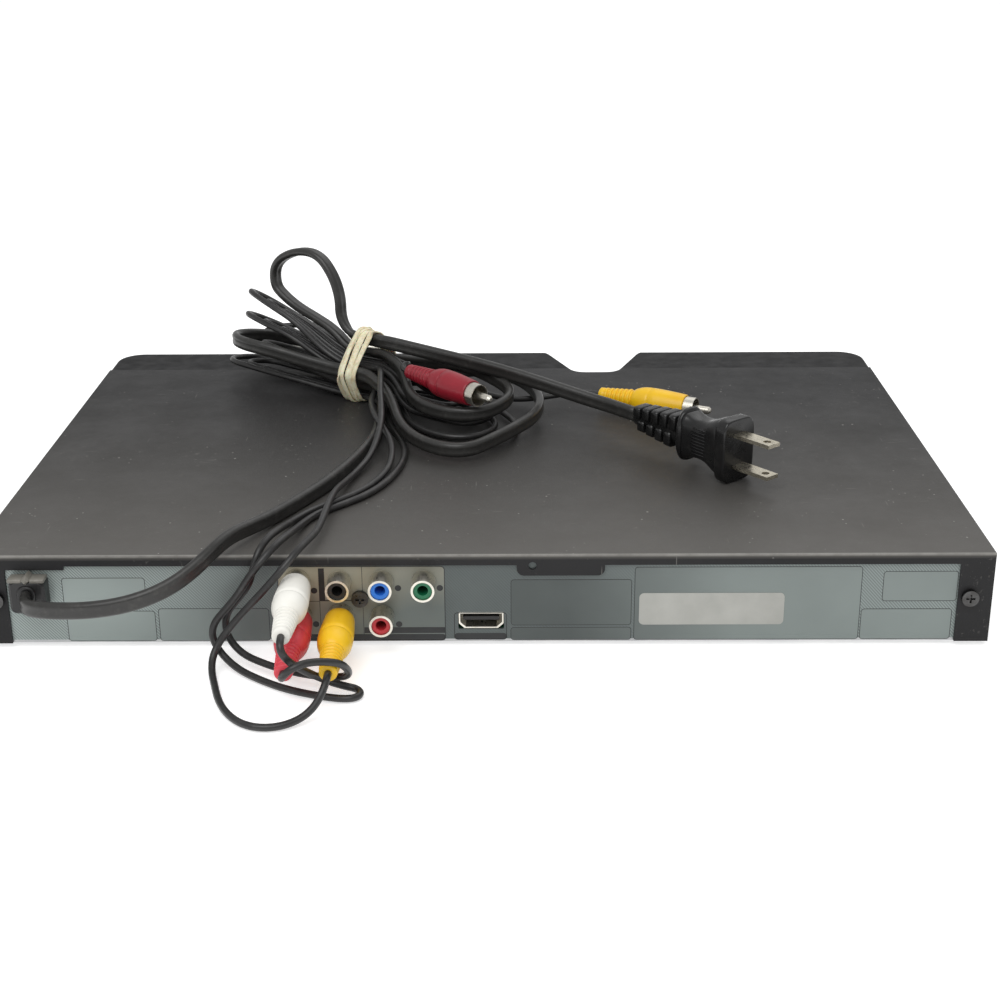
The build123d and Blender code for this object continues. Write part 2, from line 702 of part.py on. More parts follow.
with BuildPart() as jack_insert_green:
    insert(3, 0)
save(jack_insert_green, "jack_insert_green")

# Digital socket: a folded shell with a tongue
HDMI_BACK = PANEL_OUT - 13.0
HDMI_FACE = PANEL_OUT - 0.35


def hdmi_outline(inset):
    """The socket's outline seen from behind, drawn in by inset."""
    half = HDMI_W / 2 + HDMI_T - inset
    low = -HDMI_H / 2 - HDMI_T + inset
    high = HDMI_H / 2 + HDMI_T - inset
    Polyline(
        (-half, high),
        (half, high),
        (half, low + 1.9),
        (half - 2.0, low),
        (-half + 2.0, low),
        (-half, low + 1.9),
        close=True,
    )


HDMI_PLANE = Plane(
    origin=(HDMI_X, HDMI_BACK, BOARD_TOP + HDMI_T + HDMI_H / 2), x_dir=(-1, 0, 0), z_dir=(0, 1, 0)
)
with BuildPart() as hdmi_shell:
    with BuildSketch(HDMI_PLANE):
        with BuildLine():
            hdmi_outline(0.0)
        make_face()
        with BuildLine():
            hdmi_outline(HDMI_T)
        make_face(mode=Mode.SUBTRACT)
    extrude(amount=HDMI_FACE - HDMI_BACK)
    with BuildSketch(HDMI_PLANE):
        with BuildLine():
            hdmi_outline(0.0)
        make_face()
    extrude(amount=HDMI_T)
save(hdmi_shell, "hdmi_shell")

with BuildPart() as hdmi_tongue:
    slab(
        (HDMI_X - HDMI_W / 2 + 1.0, HDMI_X + HDMI_W / 2 - 1.0),
        (HDMI_BACK + HDMI_T, HDMI_FACE - 1.5),
        (BOARD_TOP + HDMI_T + 2.1, BOARD_TOP + HDMI_T + 3.4),
    )
save(hdmi_tongue, "hdmi_tongue")

# Mains gland: a bushing clipped into the rear panel
with BuildPart() as mains_gland:
    gland_x = (GLAND_X - GLAND_W / 2, GLAND_X + GLAND_W / 2)
    gland_z = (GLAND_Z - GLAND_H / 2, GLAND_Z + GLAND_H / 2)
    neck_x = (gland_x[0] + GLAND_NECK, gland_x[1] - GLAND_NECK)
    neck_z = (gland_z[0] + GLAND_NECK, gland_z[1] - GLAND_NECK)
    rounded_rear(gland_x, gland_z, 2.5, (PANEL_OUT, PANEL_OUT + GLAND_OUT))
    outer_rim = mains_gland.faces().sort_by(Axis.Y)[-1].edges()
    chamfer(outer_rim, 1.0)
    rounded_rear(neck_x, neck_z, 1.8, (PANEL_IN, PANEL_OUT))
    rounded_rear(gland_x, gland_z, 2.5, (PANEL_IN - 10, PANEL_IN))
save(mains_gland, "mains_gland")

# Screws: two at the rear tabs, one in the socket block, the boards' screws
BOARD_SCREW_LOW = PAN_TOP - 0.5
BOARD_SCREW_R = 1.2


def cross_head(x, z, y, length):
    """A screw along Y with a cross recess; its head stands on y and its shank goes in by length."""
    rear_bar(x, z, SCREW_HEAD_R, (y, y + SCREW_HEAD_H))
    rear_bar(x, z, SCREW_R, (y - length, y))
    slab((x - 1.6, x + 1.6), (y + SCREW_HEAD_H - 1, y + SCREW_HEAD_H), (z - 0.35, z + 0.35), Mode.SUBTRACT)
    slab((x - 0.35, x + 0.35), (y + SCREW_HEAD_H - 1, y + SCREW_HEAD_H), (z - 1.6, z + 1.6), Mode.SUBTRACT)


with BuildPart() as screws:
    for side in (-1, 1):
        cross_head(side * SIDE_SCREW_X, SIDE_SCREW_Z, COVER_REAR, 6.0)
    cross_head(JACK_SCREW_X, JACK_SCREW_Z, PANEL_OUT, 8.0)
    for place in board_corners(MAIN_X, MAIN_Y) + board_corners(POWER_BOARD_X, POWER_BOARD_Y):
        post(*place, SCREW_HEAD_R - 0.3, (BOARD_TOP, BOARD_TOP + 1.6))
        post(*place, BOARD_SCREW_R, (BOARD_SCREW_LOW, BOARD_TOP))
save(screws, "screws")

# Loader frame: two walls and a deck that carry the tray and the traverse
FRAME_X = (TRAY_LEFT - FRAME_GAP - FRAME_WALL, TRAY_RIGHT + FRAME_GAP + FRAME_WALL)
INNER_X = (TRAY_LEFT - FRAME_GAP, TRAY_RIGHT + FRAME_GAP)
WELL_X = (PLATE_LEFT - 1.0, PLATE_RIGHT + 1.2)
WELL_Y = (PLATE_FRONT - 1.5, PLATE_REAR + 2.0)
RAIL_GAP = 0.1
LEDGE_T = 1.5
RIM_GAP = 0.3
SLOT_GAP = 0.3
SLIDER_Y = (PIN_Y - 1.0, PIN_Y - 1.0 + SLIDER_T)
RACK_BACK = RACK_X + DEDENDUM * MODULE + 4.05
POST_W = 3.2

with BuildPart() as loader_frame:
    slab(FRAME_X, (FRAME_FRONT, FRAME_REAR), (PAN_TOP, FRAME_TOP))
    slab(INNER_X, (FRAME_FRONT, FRAME_REAR), (DECK_TOP, FRAME_TOP), Mode.SUBTRACT)
    slab(INNER_X, (FRAME_FRONT + 3, FRAME_REAR - 3), (PAN_TOP, DECK_LOW), Mode.SUBTRACT)
    slab(WELL_X, WELL_Y, (DECK_LOW, DECK_TOP), Mode.SUBTRACT)
    slab(
        (SLIDER_LEFT - SLIDER_TRAVEL - 2, SLIDER_RIGHT + 1.5),
        (SLIDER_Y[0] - SLOT_GAP, SLIDER_Y[1] + SLOT_GAP),
        (DECK_LOW, DECK_TOP),
        Mode.SUBTRACT,
    )
    slab(
        (DISC_X - PIN_R - 0.8, DISC_X + PIN_R + 0.8),
        (PIN_Y - 3.0, WELL_Y[0] + 1.0),
        (DECK_LOW, DECK_TOP),
        Mode.SUBTRACT,
    )
    post(MOTOR_X, MOTOR_Y, MOTOR_R + 0.3, (DECK_LOW, DECK_TOP), Mode.SUBTRACT)
    slab(
        (INNER_X[0], INNER_X[0] + 4.0),
        (FRAME_FRONT, FRAME_REAR),
        (RAIL_LOW - RAIL_GAP - LEDGE_T, RAIL_LOW - RAIL_GAP),
    )
    slab(
        (RACK_BACK + 0.5, INNER_X[1]),
        (FRAME_FRONT, FRAME_REAR),
        (RAIL_LOW - RAIL_GAP - LEDGE_T, RAIL_LOW - RAIL_GAP),
    )
    for tab_y in (FRAME_FRONT + 8, FRAME_FRONT + 98, FRAME_FRONT + 143):
        for tab_x in ((INNER_X[0], INNER_X[0] + 3), (INNER_X[1] - 3, INNER_X[1])):
            slab(tab_x, (tab_y, tab_y + 15), (TRAY_RIM + RIM_GAP, FRAME_TOP))
    for axle_y, axle_top in ((GEAR_Y, GEAR_TOP + 0.3), (PULLEY_Y, PULLEY_TOP + 0.2)):
        post(GEAR_X, axle_y, 3.5, (DECK_TOP, GEAR_LOW - 0.1))
        post(GEAR_X, axle_y, AXLE_R, (DECK_TOP, axle_top))
    for bearing_x in (WELL_X[0] - 0.3 - POST_W, WELL_X[1] + 0.3):
        slab((bearing_x, bearing_x + POST_W), (HINGE_Y - 3, HINGE_Y + 3), (DECK_TOP, PLATE_MID + 2.7))
        side_bar(
            HINGE_Y, PLATE_MID, TRUNNION_R + BORE_GAP, (bearing_x, bearing_x + POST_W), Mode.SUBTRACT
        )
save(loader_frame, "loader_frame")

# Clamp bridge over the tray
BRIDGE_Y = (DISC_Y - 15, DISC_Y + 15)
BRIDGE_Z = (24.0, 25.2)
BRIDGE_HOLE_R = 13.0

with BuildPart() as clamp_bridge:
    slab(FRAME_X, BRIDGE_Y, BRIDGE_Z)
    for leg in ((FRAME_X[0], INNER_X[0]), (INNER_X[1], FRAME_X[1])):
        slab(leg, BRIDGE_Y, (FRAME_TOP, BRIDGE_Z[0]))
    for rib_y in BRIDGE_Y:
        rib = (rib_y, rib_y + 1.2) if rib_y < DISC_Y else (rib_y - 1.2, rib_y)
        slab((FRAME_X[0] + 6, DISC_X - 20), rib, (BRIDGE_Z[1], BRIDGE_Z[1] + 2))
        slab((DISC_X + 20, FRAME_X[1] - 6), rib, (BRIDGE_Z[1], BRIDGE_Z[1] + 2))
    post(DISC_X, DISC_Y, BRIDGE_HOLE_R, BRIDGE_Z, Mode.SUBTRACT)
save(clamp_bridge, "clamp_bridge")

# Clamper: a puck that hangs in the bridge's hole
PAD_LOW = 19.7
PAD_R = 15.0
NOSE_R = 7.4
NOSE_TOP = 20.9

with BuildPart() as clamper:
    post(DISC_X, DISC_Y, PAD_R, (PAD_LOW, PAD_LOW + 2.5))
    post(DISC_X, DISC_Y, BRIDGE_HOLE_R - 1, (PAD_LOW + 2.5, BRIDGE_Z[1] + 0.3))
    post(DISC_X, DISC_Y, BRIDGE_HOLE_R + 4, (BRIDGE_Z[1] + 0.3, BRIDGE_Z[1] + 2.3))
    post(DISC_X, DISC_Y, NOSE_R + 0.5, (PAD_LOW, NOSE_TOP + 0.7), Mode.SUBTRACT)
save(clamper, "clamper")

# Disc tray with its rack, and the door on its front
TRAY_FRONT = FRONT_Y + DOOR_T
RIM_W = 4.0
RACK_Y = (GEAR_Y - 6, TRAY_REAR - 3)

with BuildPart() as disc_tray:
    slab((TRAY_LEFT, TRAY_RIGHT), (TRAY_FRONT, TRAY_REAR), (TRAY_LOW, TRAY_RIM))
    slab(
        (TRAY_LEFT + RIM_W, TRAY_RIGHT - RIM_W),
        (DISC_Y + DISC_R + 3, TRAY_REAR),
        (TRAY_FLOOR, TRAY_RIM),
        Mode.SUBTRACT,
    )
    post(DISC_X, DISC_Y, DISC_R, (TRAY_FLOOR, TRAY_RIM), Mode.SUBTRACT)
    post(DISC_X, DISC_Y, SMALL_DISC_R, (TRAY_FLOOR - 0.8, TRAY_FLOOR), Mode.SUBTRACT)
    post(DISC_X, DISC_Y, SLOT_HALF, (TRAY_LOW, TRAY_RIM), Mode.SUBTRACT)
    slab((DISC_X - SLOT_HALF, DISC_X + SLOT_HALF), (DISC_Y, TRAY_REAR), (TRAY_LOW, TRAY_RIM), Mode.SUBTRACT)
    slab((TRAY_LEFT, TRAY_LEFT + 3.4), (FRAME_FRONT, TRAY_REAR), (RAIL_LOW, TRAY_LOW))
    slab((RACK_BACK, TRAY_RIGHT), (FRAME_FRONT, TRAY_REAR), (RAIL_LOW, TRAY_LOW))
    slab((RACK_X + DEDENDUM * MODULE, RACK_BACK), RACK_Y, (GEAR_LOW + 0.2, TRAY_LOW))
    rack(RACK_X, -1, RACK_Y, GEAR_Y + pi * MODULE / 2, MODULE, (GEAR_LOW + 0.2, GEAR_TOP))
save(disc_tray, "disc_tray")

with BuildPart() as tray_door:
    rounded_rear(
        (TRAY_LEFT - DOOR_LAP, TRAY_RIGHT + DOOR_LAP), (DOOR_LOW, DOOR_TOP), 0.6, (FRONT_Y, TRAY_FRONT)
    )
    outer = tray_door.faces().sort_by(Axis.Y)[0].edges()
    fillet(outer, 0.4)
save(tray_door, "tray_door")

# Gear train: tray gear, pulley gear and motor pulley, with the belt
BELT_LOW = PULLEY_LOW + RIM_T + 0.2
BELT_TOP = PULLEY_TOP - RIM_T - 0.2

with BuildPart() as tray_gear:
    gear(GEAR_X, GEAR_Y, TEETH_BIG, MODULE, (GEAR_LOW, GEAR_TOP), 0)
    post(GEAR_X, GEAR_Y, AXLE_R + BORE_GAP, (GEAR_LOW, GEAR_TOP), Mode.SUBTRACT)
save(tray_gear, "tray_gear")


def pulley(x, y, r, z):
    """A grooved wheel."""
    post(x, y, r, (z[0], z[0] + RIM_T))
    post(x, y, r - GROOVE, (z[0], z[1]))
    post(x, y, r, (z[1] - RIM_T, z[1]))


with BuildPart() as pulley_gear:
    gear(GEAR_X, PULLEY_Y, TEETH_SMALL, MODULE, (GEAR_LOW, GEAR_TOP), 0)
    post(GEAR_X, PULLEY_Y, 4.0, (GEAR_TOP, PULLEY_LOW))
    pulley(GEAR_X, PULLEY_Y, PULLEY_R, (PULLEY_LOW, PULLEY_TOP))
    post(GEAR_X, PULLEY_Y, AXLE_R + BORE_GAP, (GEAR_LOW, PULLEY_TOP), Mode.SUBTRACT)
save(pulley_gear, "pulley_gear")

MOTOR_SHAFT_R = 1.0
BOSS_TOP = 9.6
with BuildPart() as motor_pulley:
    pulley(MOTOR_X, MOTOR_Y, MOTOR_PULLEY_R, (PULLEY_LOW, PULLEY_TOP))
    post(MOTOR_X, MOTOR_Y, MOTOR_SHAFT_R, (DECK_TOP, PULLEY_LOW))
save(motor_pulley, "motor_pulley")

with BuildPart() as loading_motor:
    post(MOTOR_X, MOTOR_Y, MOTOR_R, (PAN_TOP + 0.4, DECK_TOP))
    post(MOTOR_X, MOTOR_Y, MOTOR_R + 2.5, (DECK_TOP, DECK_TOP + 0.8))
    post(MOTOR_X, MOTOR_Y, 4.0, (DECK_TOP + 0.8, BOSS_TOP))
    post(MOTOR_X, MOTOR_Y, MOTOR_SHAFT_R + BORE_GAP, (DECK_TOP - 0.3, BOSS_TOP), Mode.SUBTRACT)
save(loading_motor, "loading_motor")


def belt_outline(big, small):
    """The belt's line round both pulleys, from its radius on each."""
    dx = GEAR_X - MOTOR_X
    dy = PULLEY_Y - MOTOR_Y
    apart = sqrt(dx * dx + dy * dy)
    lean = (big - small) / apart
    ux, uy = dx / apart, dy / apart
    ends = []
    for side in (1, -1):
        across = sqrt(1 - lean * lean) * side
        nx = -lean * ux - across * uy
        ny = -lean * uy + across * ux
        ends.append(((MOTOR_X + small * nx, MOTOR_Y + small * ny), (GEAR_X + big * nx, PULLEY_Y + big * ny)))
    (a, b), (d, c) = ends[0], ends[1]
    Line(a, b)
    ThreePointArc(b, (GEAR_X + big * ux, PULLEY_Y + big * uy), c)
    Line(c, d)
    ThreePointArc(d, (MOTOR_X - small * ux, MOTOR_Y - small * uy), a)


with BuildPart() as drive_belt:
    with BuildSketch(Plane.XY.offset(BELT_LOW)):
        with BuildLine():
            belt_outline(PULLEY_R - GROOVE + BELT_GAP + BELT_T, MOTOR_PULLEY_R - GROOVE + BELT_GAP + BELT_T)
        make_face()
        with BuildLine():
            belt_outline(PULLEY_R - GROOVE + BELT_GAP, MOTOR_PULLEY_R - GROOVE + BELT_GAP)
        make_face(mode=Mode.SUBTRACT)
    extrude(amount=BELT_TOP - BELT_LOW)
save(drive_belt, "drive_belt")

# Cam slider: its slanted slot lets the traverse down
PIN_DROP = (HINGE_Y - PIN_Y) * sin(radians(DROP_ANGLE))
SLOT_R = PIN_R + 0.3

with BuildPart() as cam_slider:
    slab((SLIDER_LEFT, SLIDER_RIGHT - 6.5), SLIDER_Y, (SLIDER_LOW, SLIDER_TOP))
    slab((SLIDER_RIGHT - 6.5, SLIDER_RIGHT), SLIDER_Y, (SLIDER_LOW, PULLEY_LOW))
    foot_y = (SLIDER_Y[0] - 2, SLIDER_Y[1] + 2)
    slab((SLIDER_LEFT, SLIDER_LEFT + 15), foot_y, (DECK_TOP + 0.2, DECK_TOP + 1.4))
    slot_middle = Plane(
        origin=(DISC_X + SLIDER_TRAVEL / 2, SLIDER_Y[0] - 1, PLATE_MID - PIN_DROP / 2),
        x_dir=(SLIDER_TRAVEL, 0, -PIN_DROP),
        z_dir=(0, 1, 0),
    )
    with BuildSketch(slot_middle) as slot_sketch:
        SlotOverall(sqrt(SLIDER_TRAVEL**2 + PIN_DROP**2) + 2 * SLOT_R, 2 * SLOT_R)
    extrude(slot_sketch.sketch, amount=SLIDER_T + 2, mode=Mode.SUBTRACT)
save(cam_slider, "cam_slider")

# Traverse frame: the plate that carries turntable and pickup
WINDOW_IN_X = (PICKUP_LEFT - 1.0, PICKUP_RIGHT + 1.0)
WINDOW_IN_Y = (PICKUP_FRONT - 4, ROD_REAR - 1.0)
DAMPER_R = 2.6
DAMPERS = [
    (PLATE_LEFT + 4.5, -75.0),
    (PLATE_WAIST - 4.5, -75.0),
    (PLATE_LEFT + 4.5, 32.0),
    (PLATE_RIGHT - 4.5, 32.0),
]
SPINDLE_R = 1.5
EAR = 9.5

with BuildPart() as traverse_frame:
    slab((PLATE_LEFT, PLATE_WAIST), (PLATE_FRONT, PLATE_STEP), (PLATE_LOW, PLATE_TOP))
    slab((PLATE_LEFT, PLATE_RIGHT), (PLATE_STEP, PLATE_REAR), (PLATE_LOW, PLATE_TOP))
    slab(WINDOW_IN_X, WINDOW_IN_Y, (PLATE_LOW, PLATE_TOP), Mode.SUBTRACT)
    post(DISC_X, DISC_Y, 6.0, (PLATE_LOW, PLATE_TOP), Mode.SUBTRACT)
    for place in DAMPERS:
        post(*place, DAMPER_R, (PLATE_LOW, PLATE_TOP), Mode.SUBTRACT)
    side_bar(HINGE_Y, PLATE_MID, TRUNNION_R, (WELL_X[0] - 0.3 - POST_W, PLATE_LEFT))
    side_bar(HINGE_Y, PLATE_MID, TRUNNION_R, (PLATE_RIGHT, WELL_X[1] + 0.3 + POST_W))
    rear_bar(DISC_X, PLATE_MID, PIN_R, (PIN_Y - 2, PLATE_FRONT + 1))
    for rod_x in (ROD_LEFT, ROD_RIGHT):
        for holder_y in ((ROD_FRONT - 3, ROD_FRONT), (ROD_REAR, ROD_REAR + 3)):
            slab((rod_x - 2.3, rod_x + 1.7), holder_y, (ROD_Z - ROD_R - 0.2, PLATE_LOW))
save(traverse_frame, "traverse_frame")

with BuildPart() as rubber_dampers:
    for place in DAMPERS:
        post(*place, DAMPER_R - BORE_GAP, (PLATE_LOW, PLATE_TOP))
        post(*place, DAMPER_R + 1.4, (PLATE_TOP, PLATE_TOP + 1.0))
    for place in DAMPERS:
        post(*place, 1.2, (PLATE_LOW, PLATE_TOP + 1.0), Mode.SUBTRACT)
save(rubber_dampers, "rubber_dampers")

with BuildPart() as guide_rods:
    for rod_x in (ROD_LEFT, ROD_RIGHT):
        rear_bar(rod_x, ROD_Z, ROD_R, (ROD_FRONT, ROD_REAR))
save(guide_rods, "guide_rods")

SPINDLE_LOW = 8.6
with BuildPart() as spindle_motor:
    post(DISC_X, DISC_Y, 12.0, (SPINDLE_LOW, PLATE_LOW))
    post(DISC_X, DISC_Y, SPINDLE_R + BORE_GAP, (SPINDLE_LOW + 0.6, PLATE_LOW), Mode.SUBTRACT)
    bottom_rim = spindle_motor.edges().filter_by(GeomType.CIRCLE).group_by(Axis.Z)[0]
    fillet(bottom_rim, 0.5)
save(spindle_motor, "spindle_motor")

SEAT_Z = (16.5, 18.5)
with BuildPart() as turntable:
    post(DISC_X, DISC_Y, SPINDLE_R, (SPINDLE_LOW + 0.8, SEAT_Z[0]))
    post(DISC_X, DISC_Y, 5.0, (PLATE_LOW + 0.3, SEAT_Z[0]))
    post(DISC_X, DISC_Y, PAD_R, SEAT_Z)
    post(DISC_X, DISC_Y, NOSE_R, (SEAT_Z[1], NOSE_TOP))
    nose_rim = turntable.faces().sort_by(Axis.Z)[-1].edges()
    chamfer(nose_rim, 0.9)
save(turntable, "turntable")

# Pickup on its rods, with the rack of its drive
PICKUP_TOP = 14.5
SLEEVE_Z = (ROD_Z - 2.3, ROD_Z + 1.9)
SLED_RACK_Y = (ROD_FRONT + 1.5, SLED_Y + 4.5)

with BuildPart() as pickup_body:
    slab((PICKUP_LEFT, PICKUP_RIGHT), (PICKUP_FRONT, PICKUP_REAR), (SLEEVE_Z[0], PICKUP_TOP))
    slab((ROD_LEFT - 3, ROD_RIGHT + 3), (PICKUP_FRONT, PICKUP_REAR), SLEEVE_Z)
    slab((ROD_RIGHT + 2, SLED_PITCH_X - DEDENDUM * SLED_MODULE), SLED_RACK_Y, (SLED_LOW, SLED_TOP))
    for rod_x in (ROD_LEFT, ROD_RIGHT):
        rear_bar(rod_x, ROD_Z, ROD_R + BORE_GAP, (PICKUP_FRONT - 1, PICKUP_REAR + 1), Mode.SUBTRACT)
    rack(SLED_PITCH_X, 1, SLED_RACK_Y, SLED_Y + pi * SLED_MODULE / 2, SLED_MODULE, (SLED_LOW, SLED_TOP))
    post(DISC_X, LENS_Y, 3.6, (PICKUP_TOP - 1, PICKUP_TOP), Mode.SUBTRACT)
save(pickup_body, "pickup_body")

with BuildPart() as pickup_lens:
    post(DISC_X, LENS_Y, 3.5, (PICKUP_TOP - 1, PICKUP_TOP + 0.8))
    dome = pickup_lens.faces().sort_by(Axis.Z)[-1].edges()
    fillet(dome, 0.7)
save(pickup_lens, "pickup_lens")

SLED_MOTOR_LOW = 5.6
with BuildPart() as sled_motor:
    post(SLED_X, SLED_Y, 6.5, (SLED_MOTOR_LOW, SLED_LOW - 0.2))
    slab((SLED_X - 3, SLED_X + 3), (SLED_Y - EAR - 2, SLED_Y + EAR + 2), (SLED_LOW - 1.2, SLED_LOW - 0.2))
    for ear_y in (SLED_Y - EAR, SLED_Y + EAR):
        post(SLED_X, ear_y, 1.5, (SLED_LOW - 0.2, PLATE_LOW))
    post(SLED_X, SLED_Y, 1.0, (SLED_LOW - 0.2, SLED_TOP))
save(sled_motor, "sled_motor")

with BuildPart() as sled_gear:
    gear(SLED_X, SLED_Y, SLED_TEETH, SLED_MODULE, (SLED_LOW, SLED_TOP), 180)
    post(SLED_X, SLED_Y, 1.0 + BORE_GAP, (SLED_LOW, SLED_TOP), Mode.SUBTRACT)
save(sled_gear, "sled_gear")

# Cords. Free stretches run through points set by hand; the coils follow one formula.
WAIST = Vector(BUNDLE_X, BUNDLE_Y, 0)
ALONG = Vector(cos(radians(BUNDLE_TURN)), sin(radians(BUNDLE_TURN)), 0)
ACROSS = Vector(-ALONG.Y, ALONG.X, 0)
UP = Vector(0, 0, 1)
MAINS_CELL = 5.8
LEAD_CELL = 3.3
MAINS_LOW = 43.6
MAINS_MID = 50.4
MAINS_MID_SIDE = 12.8
MAINS_HIGH = 56.8
MAINS_TOP = MAINS_HIGH + MAINS_CELL
LEAD_EDGE = 8.2
LEAD_END = LEAD_EDGE - 3 * LEAD_CELL
WHITE_Z = 38.3
RED_Z = 48.9
YELLOW_Z = 52.3
LEAVE_RUN = 9.0
LEAVE_TURN = 0.95
BEND_SHARE = 0.45


def cell(across, z, along):
    """A place at the waist of the bundle."""
    return WAIST + ALONG * along + ACROSS * across + UP * z


def biarc_middle(start, way, end, end_way):
    """Where two arcs between two knots meet, and their common direction there."""
    chord = end - start
    bend = 2 * (1 - way.dot(end_way))
    reach = 2 * chord.dot(way + end_way)
    square = chord.dot(chord)
    if bend < 1e-9:
        arm = square / reach
    else:
        arm = (-reach + sqrt(reach * reach + 4 * bend * square)) / (2 * bend)
    first = start + way * arm
    second = end - end_way * arm
    return (first + second) / 2, (second - first).normalized()


def bent_edge(start, way, end):
    """An arc that leaves along way, or a line where the end lies straight ahead."""
    chord = end - start
    if chord.cross(way).length < 1e-6 * chord.length:
        Line(start, end)
    else:
        TangentArc(start, end, tangent=way)


def knot_path(knots):
    """A smooth path of arcs through knots, each a place and a direction."""
    with BuildLine() as path:
        for (start, way), (end, end_way) in zip(knots, knots[1:]):
            middle, middle_way = biarc_middle(start, way, end, end_way)
            bent_edge(start, way, middle)
            bent_edge(middle, middle_way, end)
    return path.wires()[0]


def leave(place, side, target):
    """The knot a little beyond the waist, already turned towards the next one."""
    to = (target - place).normalized()
    out = ALONG * side
    angle = acos(to.dot(out)) * LEAVE_TURN
    turn = (to - out * to.dot(out)).normalized()
    knot = place + (out * cos(angle / 2) + turn * sin(angle / 2)) * LEAVE_RUN
    return knot, out * cos(angle) + turn * sin(angle)


def loop(side, z, reach, half, near, far, yaw, lift, tilt):
    """Shoulder, tip and shoulder of one loop beside the waist."""
    flat = ALONG * side * cos(radians(yaw)) + ACROSS * sin(radians(yaw))
    out = flat * cos(radians(lift)) + UP * sin(radians(lift))
    wide = ACROSS * cos(radians(tilt)) + UP * sin(radians(tilt))
    base = cell(0, z, side * TIE_HALF)
    near_shoulder = base + out * near + wide * half
    far_shoulder = base + out * far - wide * half
    tip = base + out * reach
    if side > 0:
        return [(near_shoulder, out), (tip, -wide), (far_shoulder, -out)]
    return [(far_shoulder, out), (tip, wide), (near_shoulder, -out)]


def standing_loop(places):
    """Knots of the loop that stands up: along, height and direction of each."""
    knots = []
    for along, z, angle in places:
        way = ALONG * cos(radians(angle)) + UP * sin(radians(angle))
        knots.append((cell(0, z, along), way))
    return knots


def hank(cells, loops, standing=None):
    """All knots of one cord; the loop numbered standing rises straight from the waist."""
    knots = []
    for index, (across, z) in enumerate(cells):
        side = 1 if index % 2 == 0 else -1
        enter = cell(across, z, -side * TIE_HALF)
        goes = cell(across, z, side * TIE_HALF)
        if index > 0:
            back, way = leave(enter, -side, knots[-1][0])
            knots.append((back, -way))
        knots.append((enter, ALONG * side))
        knots.append((goes, ALONG * side))
        if index < len(cells) - 1:
            if index != standing:
                knots.append(leave(goes, side, loops[index][0][0]))
            knots += loops[index]
    return knots


def rounded_path(points):
    """A path of straight runs whose corners are rounded as far as the runs allow."""
    radii = []
    for before, corner, after in zip(points, points[1:], points[2:]):
        came = Vector(*corner) - Vector(*before)
        goes = Vector(*after) - Vector(*corner)
        half_turn = radians(came.get_angle(goes)) / 2
        radii.append(BEND_SHARE * min(came.length, goes.length) / tan(half_turn))
    with BuildLine() as path:
        FilletPolyline(*points, radius=radii)
    return path.wires()[0], min(radii)


def tube(path, d):
    """A round cord along a path, added to the part in hand."""
    with BuildSketch(Plane(origin=path @ 0, z_dir=path % 0)) as section:
        Circle(d / 2)
    sweep(section.sketch, path=path)


def cord_check(name, volume, paths, d, tightest):
    """Print a cord's tightest bend and its volume against section times length."""
    length = sum(path.length for path in paths)
    share = volume / (length * pi * d * d / 4)
    print(name, "tightest bend", round(tightest, 1), "length", round(length), "volume ratio", round(share, 4))


def own_gap(path, d):
    """The least gap between two stretches of one coil that lie apart along it."""
    count = int(path.length)
    places = path.positions([index / count for index in range(count + 1)])
    apart = int(3 * d)
    least = path.length
    for index, place in enumerate(places):
        for other in places[index + apart :]:
            least = min(least, (place - other).length)
    return least - d


def knot_radius(knots):
    """The tightest arc among those that join the knots."""
    least = 1e9
    for (start, way), (end, end_way) in zip(knots, knots[1:]):
        middle, middle_way = biarc_middle(start, way, end, end_way)
        for a, along, b in ((start, way, middle), (middle, middle_way, end)):
            chord = b - a
            slant = chord.cross(along).length / chord.length
            if slant > 1e-6:
                least = min(least, chord.length / (2 * slant))
    return least

MAINS_COIL = hank(
    [
        (MAINS_CELL, MAINS_LOW),
        (-MAINS_CELL, MAINS_LOW),
        (MAINS_MID_SIDE, MAINS_MID),
        (-MAINS_MID_SIDE, MAINS_MID),
        (0, MAINS_HIGH),
        (0, MAINS_TOP),
    ],
    [
        loop(1, MAINS_LOW, 52, 13, 32, 32, 2, 8, 20),
        loop(-1, MAINS_LOW + 0.9, 86, 41, 68, 42, 9, -1, -3),
        loop(1, MAINS_MID, 64, 22, 42, 42, 3, 4, 12),
        loop(-1, MAINS_MID + 2.1, 74, 20, 50, 38, 9, -3, -8),
        standing_loop([(24, 66, 22), (44, 74, 28), (52.5, 84, 96), (32, 98, 180), (16.5, 84, 250)]),
    ],
    standing=4,
)


def lead_coil(z, passes, left, right, right_z):
    """The knots of one signal lead; every further loop lies inside the one before."""
    reach, half, lift, tilt = left
    right_reach, right_half, shrink, near, far, yaw = right
    cells = []
    loops = []
    for turn in range(3):
        cells += [(LEAD_EDGE - LEAD_CELL * turn, z), (LEAD_CELL * turn - LEAD_EDGE, z)]
        loops.append(loop(1, z, reach - 9 * turn, half - 4.5 * turn, 36, 36, 2, lift, tilt))
        size = (right_reach - 11 * turn, right_half - shrink * turn)
        loops.append(loop(-1, right_z, *size, near, far, yaw, 0, 0))
    return hank(cells[:passes], loops[: passes - 1])


WHITE_COIL = lead_coil(WHITE_Z, 5, (70, 13.4, 4, 10), (84, 26, 8, 52, 44, 15), WHITE_Z)
RED_COIL = lead_coil(RED_Z, 6, (62, 13.4, 15, 24), (68, 14, 5.5, 38, 34, 12), WHITE_Z + 3.7)
YELLOW_COIL = lead_coil(YELLOW_Z, 6, (62, 13.4, 22, 28), (62, 12, 5, 36, 32, 12), WHITE_Z + 7.0)

PLUG_END = 40.0
PLUG_Y = COVER_REAR + JACK_REACH + 35.25
WHITE_JACK = jack_place(0, 0)
RED_JACK = jack_place(0, 1)
YELLOW_JACK = jack_place(1, 1)

